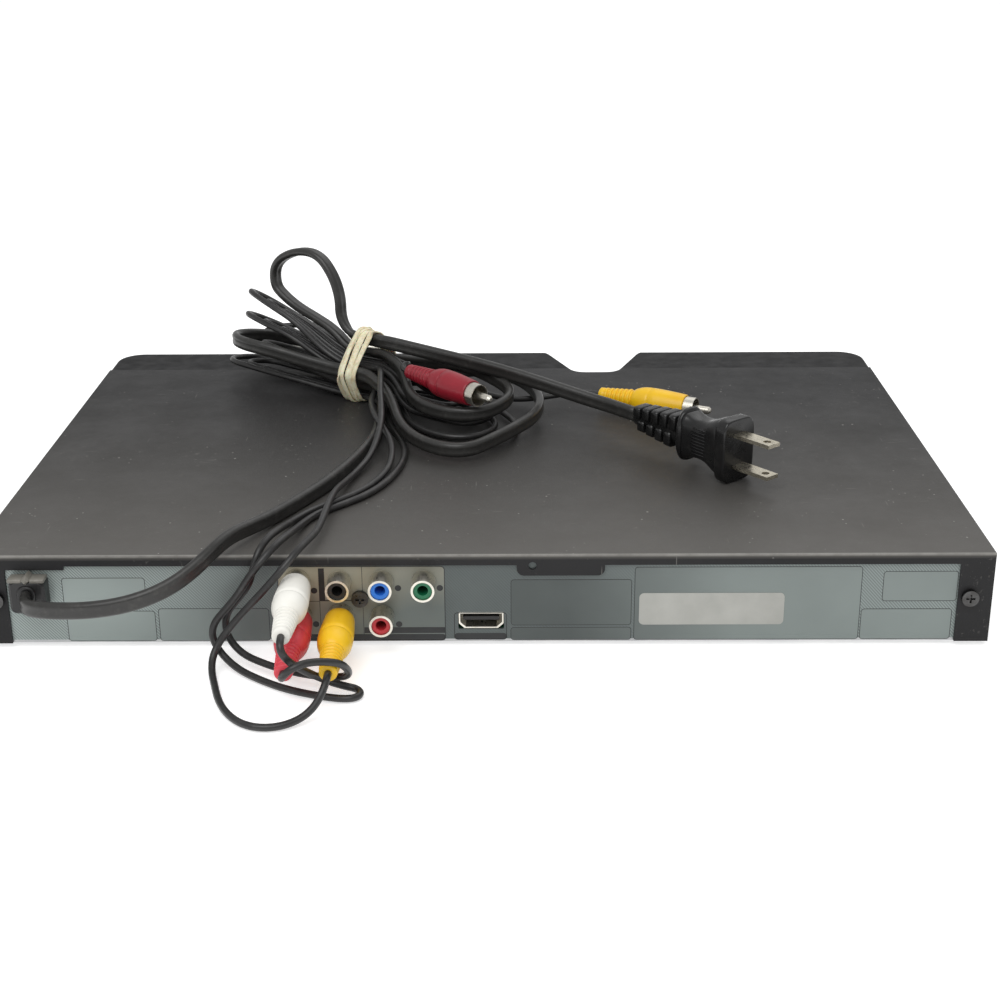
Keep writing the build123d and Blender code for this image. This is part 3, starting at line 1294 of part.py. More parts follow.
# Free stretches from the case to the bundle
MAINS_LEAD = [
    (GLAND_X, PANEL_OUT + GLAND_OUT, GLAND_Z),
    (GLAND_X, 131, GLAND_Z),
    (154.6, 136.8, 23.2),
    (144.5, 140.5, 24.3),
    (134, 143, 25.6),
    (123, 143.2, 27.2),
    (113, 141.5, 29.6),
    (104.5, 138, 32.8),
    (97.5, 133, 37),
    (92, 126.5, 41),
    (88, 118, 42.3),
    (83.5, 107.5, 41),
    (77.5, 94.5, 39.4),
    (70, 79, 39),
    (62, 62.5, 39),
    (55, 44, 39),
    (49.5, 25, 39),
    (45.8, 6, 39),
    (45.2, -8, 39.4),
    (45, -18, 41),
    (45, -28, 42.4),
    (44.6, -37, 43.3),
    (44.7, -43.6, 43.4),
    cell(MAINS_CELL, MAINS_LOW, -TIE_HALF - 5.9),
    cell(MAINS_CELL, MAINS_LOW, -TIE_HALF),
]
WHITE_LEAD = [
    (WHITE_JACK[0], PLUG_Y, WHITE_JACK[1]),
    (WHITE_JACK[0], 167.2, WHITE_JACK[1]),
    (64.4, 169.8, 22.6),
    (61.2, 167.2, 17.2),
    (57.2, 162.6, 12.2),
    (53.6, 158.6, 8),
    (49.4, 155.9, 4.6),
    (45.2, 154.6, 2.6),
    (41.6, 154.9, 1.9),
    (39.9, 157.9, 1.7),
    (41.6, 161, 1.6),
    (46.5, 161.6, 1.6),
    (55, 159.2, 1.6),
    (65.5, 154.8, 1.6),
    (75, 148.5, 1.7),
    (83.8, 141.3, 2.1),
    (90.3, 135, 4.6),
    (94.2, 131.8, 9.5),
    (93.4, 130.8, 15),
    (88.8, 130.1, 20),
    (84.3, 129.7, 25.5),
    (80.5, 129.4, 31.5),
    (75.8, 128.4, 37.4),
    (71.2, 122.8, 41.3),
    (68.2, 112.5, 40.7),
    (66.2, 100, 38.5),
    (64, 91, 37.6),
    (60, 83.3, 37.5),
    (52.2, 75.4, 37.5),
    (44, 65.6, 37.5),
    (38, 53, 37.5),
    (34, 38.5, 37.5),
    (32.4, 23.5, 37.5),
    (33.4, 10, 37.5),
    (36.9, -2.5, 37.5),
    (40.8, -14, 37.5),
    (44, -26, 37.6),
    (46.4, -37, 37.9),
    (47.6, -44, 38.2),
    cell(LEAD_EDGE, WHITE_Z, -TIE_HALF - 4),
    cell(LEAD_EDGE, WHITE_Z, -TIE_HALF),
]
RED_LEAD = [
    (RED_JACK[0], PLUG_Y, RED_JACK[1]),
    (RED_JACK[0], 167.6, RED_JACK[1]),
    (64.4, 171.2, 14.6),
    (61.4, 172.8, 18.4),
    (57, 170.6, 19.6),
    (51.5, 167, 18.4),
    (45.8, 163.2, 15.8),
    (43.8, 158.8, 10.9),
    (44.4, 154.6, 6.9),
    (47, 152.1, 4.9),
    (52.5, 151.8, 4.6),
    (60, 149.6, 4.6),
    (68, 146, 4.6),
    (75.5, 141, 4.6),
    (82.5, 135.8, 5),
    (87.6, 131, 7.5),
    (90, 128.3, 12),
    (89.2, 127, 17.3),
    (85.2, 126.3, 22),
    (81, 125.9, 27.3),
    (79.3, 125.6, 33),
    (77.6, 124.2, 38.6),
    (74.8, 118, 41.8),
    (72, 108, 40.9),
    (70.3, 97.5, 38.6),
    (68, 89.8, 37.7),
    (63.3, 81.2, 37.5),
    (55.2, 72.7, 37.5),
    (47.2, 62.7, 37.5),
    (41.3, 50.8, 37.6),
    (37.6, 38.5, 38.6),
    (37, 27, 40.6),
    (38.6, 16.5, 42.3),
    (42, 6, 43.3),
    (45.6, -4.6, 44.2),
    (48.2, -14, 44.7),
    (49.5, -24, 45),
    (49.5, -31.5, 45.1),
    (49.1, -37.5, 45.2),
    (48.5, -42, 45.7),
    (48, -45.2, 47.2),
    cell(LEAD_EDGE, RED_Z, -TIE_HALF - 4),
    cell(LEAD_EDGE, RED_Z, -TIE_HALF),
]
YELLOW_LEAD = [
    (YELLOW_JACK[0], PLUG_Y, YELLOW_JACK[1]),
    (YELLOW_JACK[0], 167.4, YELLOW_JACK[1]),
    (51.2, 171.2, 9.4),
    (54.1, 174.2, 5),
    (58.5, 177.2, 2.4),
    (64.5, 180.4, 1.6),
    (71.5, 181.2, 1.6),
    (78, 178, 1.6),
    (83.6, 171, 1.6),
    (87.6, 162, 1.6),
    (90.4, 152, 1.7),
    (92.8, 143.5, 2.6),
    (93.2, 138, 5.6),
    (90.6, 135.2, 10.5),
    (86.6, 134.2, 15.5),
    (82.2, 133.6, 20.5),
    (77.4, 133, 25.5),
    (72.3, 132.2, 31),
    (67.2, 130.6, 36.6),
    (63.2, 126.2, 40.6),
    (60.4, 117.5, 41),
    (58.6, 107, 39.8),
    (57.6, 95, 40.4),
    (57, 83.5, 41),
    (55.8, 70, 41),
    (53.6, 56.5, 38.9),
    (50.3, 43, 38.2),
    (46.2, 30, 39.4),
    (43.7, 18, 43.2),
    (42.9, 6, 46.7),
    (43.6, -5, 49),
    (44.8, -16, 51.5),
    (45.5, -27, 53.6),
    (46.1, -36.6, 55),
    (47.1, -43, 54),
    cell(LEAD_EDGE, YELLOW_Z, -TIE_HALF - 5),
    cell(LEAD_EDGE, YELLOW_Z, -TIE_HALF),
]

# Far plugs: where the cord enters and which way the plug points
MAINS_PLUG = ((-62.1, 6.6, 49), (-0.648, 0.762, 0))
WHITE_FAR = ((97, -118, 42.5), (-1, 0.1, 0))
RED_FAR = ((33.1, -28.1, 57.4), (-0.688, 0.725, -0.015))
YELLOW_FAR = ((-49.5, -41.2, 42.5), (-0.89, 0.456, 0))


def approach(plug, run):
    """A place straight behind a far plug."""
    return Vector(*plug[0]) - Vector(*plug[1]).normalized() * run


# Short tails from the bundle to the far plugs
MAINS_TAIL = [
    cell(0, MAINS_TOP, -TIE_HALF),
    cell(0, MAINS_TOP, -TIE_HALF - 6.9),
    (34, -49.2, 61.6),
    (23, -44.5, 60.2),
    (9.5, -37.7, 58.8),
    (-4.8, -30, 57.2),
    (-18.5, -22.8, 55),
    (-31, -16.5, 52.6),
    (-42, -11.2, 50.4),
    approach(MAINS_PLUG, 16),
    MAINS_PLUG[0],
]
WHITE_TAIL = [
    cell(-LEAD_END, WHITE_Z, TIE_HALF),
    cell(-LEAD_END, WHITE_Z, TIE_HALF + 4),
    (65.9, -66.9, 38.8),
    (71.2, -71.8, 40.2),
    (75.8, -78, 42.8),
    (78.6, -85.1, 46.3),
    (78.9, -92.9, 50.4),
    (77.8, -100.8, 54),
    (79.3, -108.4, 55.3),
    (84.6, -114, 54.5),
    (92, -117, 53.4),
    (99.5, -118.2, 52.8),
    (106.3, -118.9, 51.2),
    (110, -119.3, 47.4),
    (108, -119.1, 43.6),
    approach(WHITE_FAR, 5),
    WHITE_FAR[0],
]
RED_TAIL = [
    cell(LEAD_END, RED_Z, -TIE_HALF),
    cell(LEAD_END, RED_Z, -TIE_HALF - 2.5),
    (43.2, -54.8, RED_Z),
    (40.1, -51.5, 49.4),
    (36.8, -48, 51.3),
    (34.4, -44.5, 54.7),
    (34.4, -40.5, 57.2),
    (36.3, -35.2, 57.8),
    approach(RED_FAR, 4),
    RED_FAR[0],
]
YELLOW_TAIL = [
    cell(LEAD_END, YELLOW_Z, -TIE_HALF),
    cell(LEAD_END, YELLOW_Z, -TIE_HALF - 4),
    (39.8, -52.9, 52.7),
    (33.3, -49.6, 52.6),
    (25.8, -46.9, 51.4),
    (18.2, -44.9, 48.9),
    (11, -43.3, 46.3),
    (4.1, -42.3, 43.8),
    (-2.9, -41.9, 41.7),
    (-9.8, -42, 40.3),
    (-17.4, -43, 39.9),
    (-25.8, -44.5, 40.5),
    (-34.4, -45.5, 41.5),
    approach(YELLOW_FAR, 8),
    YELLOW_FAR[0],
]


def cord_node(name, routes, d):
    """One cord's free stretches as tubes, checked and saved."""
    paths = []
    tightest = 1e9
    with BuildPart() as cord:
        for route in routes:
            path, radius = rounded_path(route)
            tube(path, d)
            paths.append(path)
            tightest = min(tightest, radius)
    cord_check(name, cord.part.volume, paths, d, tightest)
    save(cord, name)


def coil_node(name, coils, d):
    """Tied coils, one unbroken tube for each cord, checked and saved."""
    paths = [knot_path(knots) for knots in coils]
    with BuildPart() as coil:
        for path in paths:
            tube(path, d)
    cord_check(name, coil.part.volume, paths, d, min(knot_radius(knots) for knots in coils))
    print(name, "least gap to itself", [round(own_gap(path, d), 2) for path in paths])
    save(coil, name)


cord_node("mains_cord_lead", [MAINS_LEAD], MAINS_D)
coil_node("mains_cord_hank", [MAINS_COIL], MAINS_D)
cord_node("mains_cord_tail", [MAINS_TAIL], MAINS_D)
cord_node("av_leads", [WHITE_LEAD, RED_LEAD, YELLOW_LEAD], LEAD_D)
coil_node("av_hank", [WHITE_COIL, RED_COIL, YELLOW_COIL], LEAD_D)
cord_node("av_tails", [WHITE_TAIL, RED_TAIL, YELLOW_TAIL], LEAD_D)

# Two rubber bands round the waist of the bundle
BAND_T = 0.85
BAND_OUTLINE = [(-10.2, 36.95), (10.2, 36.95), (16.3, 50.2), (3.4, 65.6), (-3.4, 65.6), (-16.3, 50.2)]

with BuildPart() as rubber_bands:
    for start, end in ((-3.2, -0.7), (0.5, 3.0)):
        with BuildSketch(Plane(origin=cell(0, 0, start), x_dir=ACROSS, z_dir=ALONG)) as loop_round:
            with BuildLine():
                FilletPolyline(*BAND_OUTLINE, radius=3.0, close=True)
            make_face()
            offset(amount=BAND_T)
            with BuildLine():
                FilletPolyline(*BAND_OUTLINE, radius=3.0, close=True)
            make_face(mode=Mode.SUBTRACT)
        extrude(loop_round.sketch, amount=end - start)
save(rubber_bands, "rubber_bands")

# Inner cables: two flat ribbons just over the pan and the wire to the power board
RIBBON_T = 0.5
RIBBON_LOW = PAN_TOP + 0.3
RIBBON_X = (24.0, 36.0)
REAR_RIBBON_X = (-30.0, -18.0)
WIRE_X = GLAND_X
WIRE_R = 1.6

with BuildPart() as inner_cables:
    slab(RIBBON_X, (FRONT_BOARD_Y + 4, MAIN_Y[0] - 1.5), (RIBBON_LOW, RIBBON_LOW + RIBBON_T))
    slab(RIBBON_X, (FRONT_BOARD_Y + FRONT_BOARD_T, FRONT_BOARD_Y + 4.5), (RIBBON_LOW, 12.0))
    slab(RIBBON_X, (MAIN_Y[0] - 2.0, MAIN_Y[0] - 1.5), (RIBBON_LOW, BOARD_TOP + 1.0))
    slab(RIBBON_X, (MAIN_Y[0] - 2.0, MAIN_Y[0] + 4), (BOARD_TOP, BOARD_TOP + 1.0))
    slab(REAR_RIBBON_X, (FRAME_REAR + 0.5, MAIN_Y[0] + 0.5), (BOARD_TOP + 0.6, BOARD_TOP + 1.1))
    rear_bar(WIRE_X, BOARD_TOP + 5.0, WIRE_R, (88.0, PANEL_IN - 10 - 6))
save(inner_cables, "inner_cables")

# Plugs
TAIL_LENGTH = 15.0
SHOULDER = 4.0
BARREL_R = 6.15
BORE_FLOOR = 28.0
BORE_R = 4.7
RING_R = 4.65
RING_T = 0.4
RING_END = 44.4
PLUG_PIN_R = 1.6
PIN_END = 51.5


def plug_body(place, way):
    """A phono plug's moulding from its cable end: ribbed tail, shoulder, barrel with a bore."""
    plane = Plane(origin=place, z_dir=way)
    upward = (Align.CENTER, Align.CENTER, Align.MIN)
    with Locations(plane):
        Cone(2.7, 3.4, TAIL_LENGTH, align=upward)
        for rib in (2.5, 6.5, 10.5):
            with Locations((0, 0, rib)):
                Cylinder(3.55, 1.6, align=upward)
        with Locations((0, 0, TAIL_LENGTH)):
            Cone(3.4, 5.8, SHOULDER, align=upward)
        with Locations((0, 0, TAIL_LENGTH + SHOULDER)):
            Cone(5.8, BARREL_R, 9.0, align=upward)
        with Locations((0, 0, TAIL_LENGTH + SHOULDER + 9.0)):
            Cone(BARREL_R, 5.3, PLUG_END - TAIL_LENGTH - SHOULDER - 9.0, align=upward)
        with Locations((0, 0, BORE_FLOOR)):
            Cylinder(BORE_R, PLUG_END - BORE_FLOOR, align=upward, mode=Mode.SUBTRACT)


def plug_contacts(place, way):
    """The metal parts of a phono plug: a ring on a disc and the middle pin."""
    plane = Plane(origin=place, z_dir=way)
    upward = (Align.CENTER, Align.CENTER, Align.MIN)
    with Locations(plane):
        with Locations((0, 0, BORE_FLOOR)):
            Cylinder(RING_R, RING_END - BORE_FLOOR, align=upward)
        with Locations((0, 0, BORE_FLOOR + 1.0)):
            Cylinder(RING_R - RING_T, RING_END - BORE_FLOOR - 1.0, align=upward, mode=Mode.SUBTRACT)
        with Locations((0, 0, BORE_FLOOR + 1.0)):
            Cylinder(PLUG_PIN_R, PIN_END - BORE_FLOOR - 2.0, align=upward)
        with Locations((0, 0, PIN_END - 1.0)):
            Cone(PLUG_PIN_R, 0.8, 1.0, align=upward)


BEHIND = (0, -1, 0)

with BuildPart() as av_plugs_white:
    plug_body((WHITE_JACK[0], PLUG_Y, WHITE_JACK[1]), BEHIND)
    plug_body(*WHITE_FAR)
save(av_plugs_white, "av_plugs_white")

with BuildPart() as av_plugs_red:
    plug_body((RED_JACK[0], PLUG_Y, RED_JACK[1]), BEHIND)
    plug_body(*RED_FAR)
save(av_plugs_red, "av_plugs_red")

with BuildPart() as av_plugs_yellow:
    plug_body((YELLOW_JACK[0], PLUG_Y, YELLOW_JACK[1]), BEHIND)
    plug_body(*YELLOW_FAR)
save(av_plugs_yellow, "av_plugs_yellow")

with BuildPart() as av_plug_contacts:
    for jack in (WHITE_JACK, RED_JACK, YELLOW_JACK):
        plug_contacts((jack[0], PLUG_Y, jack[1]), BEHIND)
    for far_plug in (WHITE_FAR, RED_FAR, YELLOW_FAR):
        plug_contacts(*far_plug)
save(av_plug_contacts, "av_plug_contacts")

# Mains plug: ribbed tail, flange, waisted grip and collar, with two flat blades
GRIP = Plane(origin=MAINS_PLUG[0], x_dir=(0, 0, 1), z_dir=MAINS_PLUG[1])
FLANGE_AT = 29.0
GRIP_AT = 31.0
COLLAR_AT = 49.0
COLLAR_END = 56.0
BLADE_SPACING = 12.7
BLADE_W = 6.3
BLADE_T = 1.5
BLADE_LENGTH = 17.5

with BuildPart() as mains_plug:
    outward = (Align.CENTER, Align.CENTER, Align.MIN)
    with Locations(GRIP):
        Cone(3.2, 5.0, FLANGE_AT, align=outward)
        for number in range(4):
            with Locations((0, 0, 2.0 + 6.0 * number)):
                Box(10.5 + 1.6 * number, 8.5 + number, 4.0, align=outward)
        with Locations((0, 0, FLANGE_AT)):
            Box(22.0, 15.0, GRIP_AT - FLANGE_AT, align=outward)
        with Locations((0, 0, COLLAR_AT)):
            Box(25.4, 17.0, COLLAR_END - COLLAR_AT, align=outward)
    with BuildSketch(GRIP.offset(GRIP_AT)) as grip_foot:
        RectangleRounded(20.0, 13.5, 3.0)
    with BuildSketch(GRIP.offset((GRIP_AT + COLLAR_AT) / 2)) as grip_waist:
        RectangleRounded(16.5, 11.5, 3.0)
    with BuildSketch(GRIP.offset(COLLAR_AT)) as grip_head:
        RectangleRounded(23.0, 15.5, 3.0)
    loft([grip_foot.sketch, grip_waist.sketch, grip_head.sketch])
save(mains_plug, "mains_plug")

with BuildPart() as plug_blades:
    with Locations(GRIP.offset(COLLAR_END)):
        with Locations((BLADE_SPACING / 2, 0), (-BLADE_SPACING / 2, 0)):
            Box(BLADE_T, BLADE_W, BLADE_LENGTH, align=outward)
        hole_at = BLADE_LENGTH - 3.5
        with Locations((BLADE_SPACING / 2, 0, hole_at), (-BLADE_SPACING / 2, 0, hole_at)):
            Cylinder(1.5, 4.0, rotation=(0, 90, 0), mode=Mode.SUBTRACT)
save(plug_blades, "plug_blades")
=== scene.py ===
from math import acos, cos, exp, pi, radians, sin, sqrt

import bmesh
import bpy
from mathutils import Matrix, Vector, noise


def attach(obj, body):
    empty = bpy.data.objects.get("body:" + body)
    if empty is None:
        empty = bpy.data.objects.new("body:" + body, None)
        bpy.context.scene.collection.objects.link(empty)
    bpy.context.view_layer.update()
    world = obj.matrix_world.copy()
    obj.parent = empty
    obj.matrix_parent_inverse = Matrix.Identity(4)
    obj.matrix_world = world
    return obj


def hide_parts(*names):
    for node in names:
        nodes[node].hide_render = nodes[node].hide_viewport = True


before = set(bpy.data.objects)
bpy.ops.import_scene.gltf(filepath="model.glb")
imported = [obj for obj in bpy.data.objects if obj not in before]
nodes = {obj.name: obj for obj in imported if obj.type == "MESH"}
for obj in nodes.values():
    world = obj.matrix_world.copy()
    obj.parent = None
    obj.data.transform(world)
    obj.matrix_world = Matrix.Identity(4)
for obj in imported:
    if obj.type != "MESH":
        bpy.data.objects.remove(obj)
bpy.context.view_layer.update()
scene = bpy.context.scene
MM = 0.001

# The photograph's camera, behind the player and above it, as solved from the case's corners
VIEW_RIGHT = Vector((-0.99995, -0.00718, -0.00641))
VIEW_UP = Vector((-0.00333, -0.36714, 0.93016))
VIEW_BACK = Vector((-0.00903, 0.93014, 0.36710))
CAMERA_AT = (-0.01194, 0.65386, 0.26720)

camera_data = bpy.data.cameras.new("camera")
camera_data.sensor_width = 36.0
camera_data.lens = 59.86
camera_data.clip_start = 0.01
camera_data.clip_end = 20.0
camera = bpy.data.objects.new("camera", camera_data)
scene.collection.objects.link(camera)
turn = Matrix((VIEW_RIGHT, VIEW_UP, VIEW_BACK)).transposed().to_4x4()
camera.matrix_world = Matrix.Translation(CAMERA_AT) @ turn
scene.camera = camera
scene.view_settings.view_transform = "Standard"

# Where the looks change along the case, in metres
# Painted sheen: the cover's top is painted lighter from the first Y to the second
TOP_SHEEN_RUN = (-0.09, 0.118)
COVER_FACE = (0.034, 0.0355)
# Painted highlight along the cover's rear fold: its Y band, then its Z band
REAR_FOLD = (0.1192, 0.1198)
REAR_FOLD_TOP = (0.0350, 0.0357)
CAN_LEVEL = (0.0108, 0.0112)


class Look:
    """A node material in the making, around one Principled shader."""

    def __init__(self, name, color=(0.5, 0.5, 0.5), roughness=0.5, metallic=0.0, **sockets):
        self.material = bpy.data.materials.new(name)
        self.material.use_nodes = True
        self.tree = self.material.node_tree
        self.shader = self.tree.nodes["Principled BSDF"]
        self.set("Base Color", (*color, 1.0))
        self.set("Roughness", roughness)
        self.set("Metallic", metallic)
        for socket, value in sockets.items():
            self.set(socket.replace("_", " "), value)
        self.place = self.node("ShaderNodeTexCoord").outputs["Object"]

    def node(self, kind, inputs=(), **settings):
        """A new node; inputs gives a value, or another node's output, for each socket named."""
        made = self.tree.nodes.new(kind)
        for key, value in settings.items():
            setattr(made, key, value)
        for socket, value in dict(inputs).items():
            self.feed(made.inputs[socket], value)
        return made

    def set(self, socket, value):
        self.feed(self.shader.inputs[socket], value)

    def feed(self, target, value):
        if isinstance(value, bpy.types.NodeSocket):
            self.tree.links.new(value, target)
        elif isinstance(value, tuple) and len(value) == 3 and target.type == "RGBA":
            target.default_value = (*value, 1.0)
        else:
            target.default_value = value

    def stretched(self, scale, angles=(0, 0, 0)):
        inputs = {"Vector": self.place, "Scale": scale, "Rotation": angles}
        return self.node("ShaderNodeMapping", inputs).outputs["Vector"]

    def noise(self, scale, detail=4.0, rough=0.55, place=None):
        inputs = {"Vector": place or self.place, "Scale": scale, "Detail": detail,
                  "Roughness": rough}
        return self.node("ShaderNodeTexNoise", inputs).outputs["Fac"]

    def cells(self, scale, place=None):
        inputs = {"Vector": place or self.place, "Scale": scale}
        return self.node("ShaderNodeTexVoronoi", inputs).outputs["Distance"]

    def ramp(self, source, low, high, out_low=0.0, out_high=1.0):
        inputs = {"Value": source, "From Min": low, "From Max": high, "To Min": out_low,
                  "To Max": out_high}
        return self.node("ShaderNodeMapRange", inputs).outputs["Result"]

    def math(self, operation, a, b=0.0):
        return self.node("ShaderNodeMath", {0: a, 1: b}, operation=operation).outputs["Value"]

    def times(self, a, b):
        return self.math("MULTIPLY", a, b)

    def mix(self, factor, a, b):
        inputs = {"Factor": factor, "A": a, "B": b}
        return self.node("ShaderNodeMix", inputs, data_type="RGBA").outputs["Result"]

    def axis(self, name, source=None):
        inputs = {"Vector": source or self.place}
        return self.node("ShaderNodeSeparateXYZ", inputs).outputs[name]

    def bump(self, height, strength, depth):
        inputs = {"Strength": strength, "Distance": depth, "Height": height}
        self.set("Normal", self.node("ShaderNodeBump", inputs).outputs["Normal"])


def sheet_black():
    """Textured black paint, worn and dusty; a painted sheen makes its top lighter and a little
    browner towards the rear.
    """
    look = Look("sheet_black", roughness=0.42, Specular_IOR_Level=0.22)
    patches = look.noise(9, 5, 0.6)
    # Painted sheen: the top is painted lighter and a little warmer towards the rear, where the
    # light falls on it
    rearward = look.ramp(look.axis("Y"), *TOP_SHEEN_RUN)
    patches = look.ramp(patches, 0.35, 0.7)
    base = look.mix(patches, (0.0150, 0.0150, 0.0160), (0.0230, 0.0225, 0.0230))
    on_top = look.ramp(look.axis("Z"), *COVER_FACE)
    painted_sheen = look.times(look.math("POWER", rearward, 1.6), on_top)
    warm = look.mix(painted_sheen, base, (0.1080, 0.1030, 0.0950))
    dust = look.ramp(look.noise(420, 3, 0.7), 0.62, 0.72)
    dust = look.times(dust, look.ramp(look.noise(28, 3), 0.48, 0.66))
    color = look.mix(look.times(dust, 0.35), warm, (0.26, 0.25, 0.23))
    specks = look.ramp(look.cells(105), 0.050, 0.030)
    small = look.ramp(look.cells(270), 0.095, 0.060)
    specks = look.times(specks, look.ramp(look.noise(70, 2), 0.50, 0.56))
    small = look.times(small, look.ramp(look.noise(45, 3), 0.55, 0.62))
    specks = look.math("MAXIMUM", specks, small)
    specks = look.times(look.times(specks, 0.65), on_top)
    color = look.mix(specks, color, (0.46, 0.45, 0.42))
    scratch = look.ramp(look.cells(1, look.stretched((34, 620, 34), (0, 0, 0.6))), 0.10, 0.04)
    cross = look.ramp(look.cells(1, look.stretched((420, 26, 26), (0, 0, -0.25))), 0.09, 0.03)
    marks = look.math("ADD", scratch, cross)
    marks = look.times(marks, look.ramp(look.noise(22, 3), 0.50, 0.60))
    color = look.mix(look.times(marks, 0.45), color, (0.28, 0.27, 0.25))
    # Painted highlight: a lighter strip along the rear fold, broken up by noise like rubbed wear
    fold = look.ramp(look.axis("Y"), *REAR_FOLD)
    rub_and_highlight = look.times(fold, look.ramp(look.axis("Z"), *REAR_FOLD_TOP))
    rub_and_highlight = look.times(rub_and_highlight, look.ramp(look.noise(180, 4), 0.30, 0.60, 0.55, 1.0))
    color = look.mix(rub_and_highlight, color, (0.30, 0.29, 0.27))
    look.set("Base Color", color)
    look.set("Roughness", look.ramp(look.noise(35, 5, 0.65), 0.3, 0.75, 0.36, 0.56))
    look.bump(look.noise(2600, 2, 0.5), 0.22, 0.0003)
    return look.material


def lit_panel_tone(look, level):
    """The sheet's silver grey with painted light and shade: lit paler at its outer ends, painted
    shade duller between.
    """
    x = look.axis("X")
    left = look.ramp(x, 0.045, 0.150)
    right = look.ramp(x, -0.030, -0.090)
    ends = look.math("MAXIMUM", left, look.times(right, 0.55))
    ends = look.math("ADD", ends, look.ramp(look.noise(14, 4), 0.3, 0.7, -0.08, 0.08))
    # Painted shade for the middle of the panel, painted light for its ends
    dull = tuple(level * part for part in (0.088, 0.102, 0.099))
    pale = tuple(level * part for part in (0.400, 0.460, 0.440))
    return look.mix(ends, dull, pale)


def field_bare():
    """A bare printed field of the panel, without the hatch."""
    look = Look("field_bare", roughness=0.48, metallic=0.15)
    # The printed field takes the same painted light and shade as the sheet
    look.set("Base Color", lit_panel_tone(look, 0.86))
    look.bump(look.noise(900, 3, 0.6), 0.15, 0.00003)
    return look.material


def field_warm():
    """The socket field: warm beige up and to the left, grey green down and to the right."""
    look = Look("field_warm", roughness=0.46, metallic=0.15)
    across = look.ramp(look.axis("X"), 0.066, 0.026)
    down = look.ramp(look.axis("Z"), 0.029, 0.008)
    slope = look.math("ADD", look.times(across, 0.65), look.times(down, 0.55))
    slope = look.math("ADD", slope, look.ramp(look.noise(20, 4), 0.3, 0.7, -0.06, 0.06))
    look.set("Base Color", look.mix(slope, (0.42, 0.385, 0.29), (0.135, 0.155, 0.145)))
    look.bump(look.noise(900, 3, 0.6), 0.15, 0.00003)
    return look.material


def panel_silver():
    """Silver grey printed sheet with a fine slanting hatch."""
    look = Look("panel_silver", roughness=0.46, metallic=0.25)
    inputs = {"Vector": look.stretched((1, 1, 1), (0, radians(-42), 0)), "Scale": 380}
    slant = look.node("ShaderNodeTexWave", inputs, wave_type="BANDS", bands_direction="X")
    weave = look.ramp(slant.outputs["Fac"], 0.25, 0.75)
    plain = lit_panel_tone(look, 1.0)
    color = look.mix(look.times(weave, 0.62), plain, (0.110, 0.130, 0.130))
    look.set("Base Color", color)
    look.bump(weave, 0.12, 0.0001)
    return look.material


def moulded(name, color, worn, roughness=0.5, grain=900.0, depth=0.00012, **sockets):
    """Moulded plastic: a slight change of tone, handling marks and a fine grain."""
    look = Look(name, roughness=roughness, **sockets)
    tone = look.ramp(look.noise(55, 4, 0.6), 0.3, 0.7)
    look.set("Base Color", look.mix(tone, color, worn))
    handled = look.noise(160, 4)
    look.set("Roughness", look.ramp(handled, 0.3, 0.7, roughness - 0.07, roughness + 0.08))
    look.bump(look.noise(grain, 3, 0.6), 0.25, depth)
    return look.material


def metal(name, color, worn, roughness=0.3, streak=(1, 1, 1), scale=220.0):
    """Plated or bare metal with cloudy tarnish and fine rubbed lines."""
    look = Look(name, roughness=roughness, metallic=1.0)
    cloud = look.ramp(look.noise(scale, 5, 0.65), 0.35, 0.72)
    look.set("Base Color", look.mix(cloud, color, worn))
    rub_and_highlight = look.noise(scale * 5, 3, 0.6, look.stretched(streak))
    look.set("Roughness", look.ramp(rub_and_highlight, 0.3, 0.7, roughness - 0.1, roughness + 0.12))
    look.bump(rub_and_highlight, 0.08, 0.00005)
    return look.material


def rubbed_cord(name, color, dusty, roughness):
    """Satin sheath: skin marks, dull dust and slight shine where it is handled."""
    look = Look(name, roughness=roughness, Specular_IOR_Level=0.5)
    dust = look.ramp(look.noise(260, 5, 0.7), 0.52, 0.78)
    look.set("Base Color", look.mix(look.times(dust, 0.5), color, dusty))
    look.set("Roughness", look.ramp(look.noise(90, 4), 0.3, 0.7, roughness - 0.08, roughness + 0.1))
    look.bump(look.noise(1500, 3, 0.6), 0.15, 0.0001)
    return look.material


def band_rubber():
    """Old stretched rubber: cream, browned in patches, with lengthwise creases."""
    look = Look("band_rubber", roughness=0.62, Subsurface_Weight=0.12, Subsurface_Scale=0.002)
    stain = look.ramp(look.noise(330, 5, 0.7), 0.42, 0.75)
    look.set("Base Color", look.mix(stain, (0.93, 0.86, 0.64), (0.62, 0.50, 0.28)))
    look.bump(look.noise(1, 4, 0.6, look.stretched((2600, 700, 400))), 0.4, 0.0002)
    return look.material


def board_green():
    """Lacquered board with copper lands and tracks under the lacquer."""
    look = Look("board_green", roughness=0.28)
    inputs = {"Vector": look.place, "Scale": 170, "Mortar Size": 0.035,
              "Color1": (0.012, 0.090, 0.038), "Color2": (0.010, 0.072, 0.032),
              "Mortar": (0.035, 0.170, 0.070)}
    tracks = look.node("ShaderNodeTexBrick", inputs)
    pads = look.ramp(look.cells(260), 0.16, 0.13)
    pads = look.times(pads, look.ramp(look.noise(40, 2), 0.5, 0.56))
    look.set("Base Color", look.mix(pads, tracks.outputs["Color"], (0.55, 0.50, 0.36)))
    look.bump(look.noise(900, 2), 0.1, 0.00005)
    return look.material


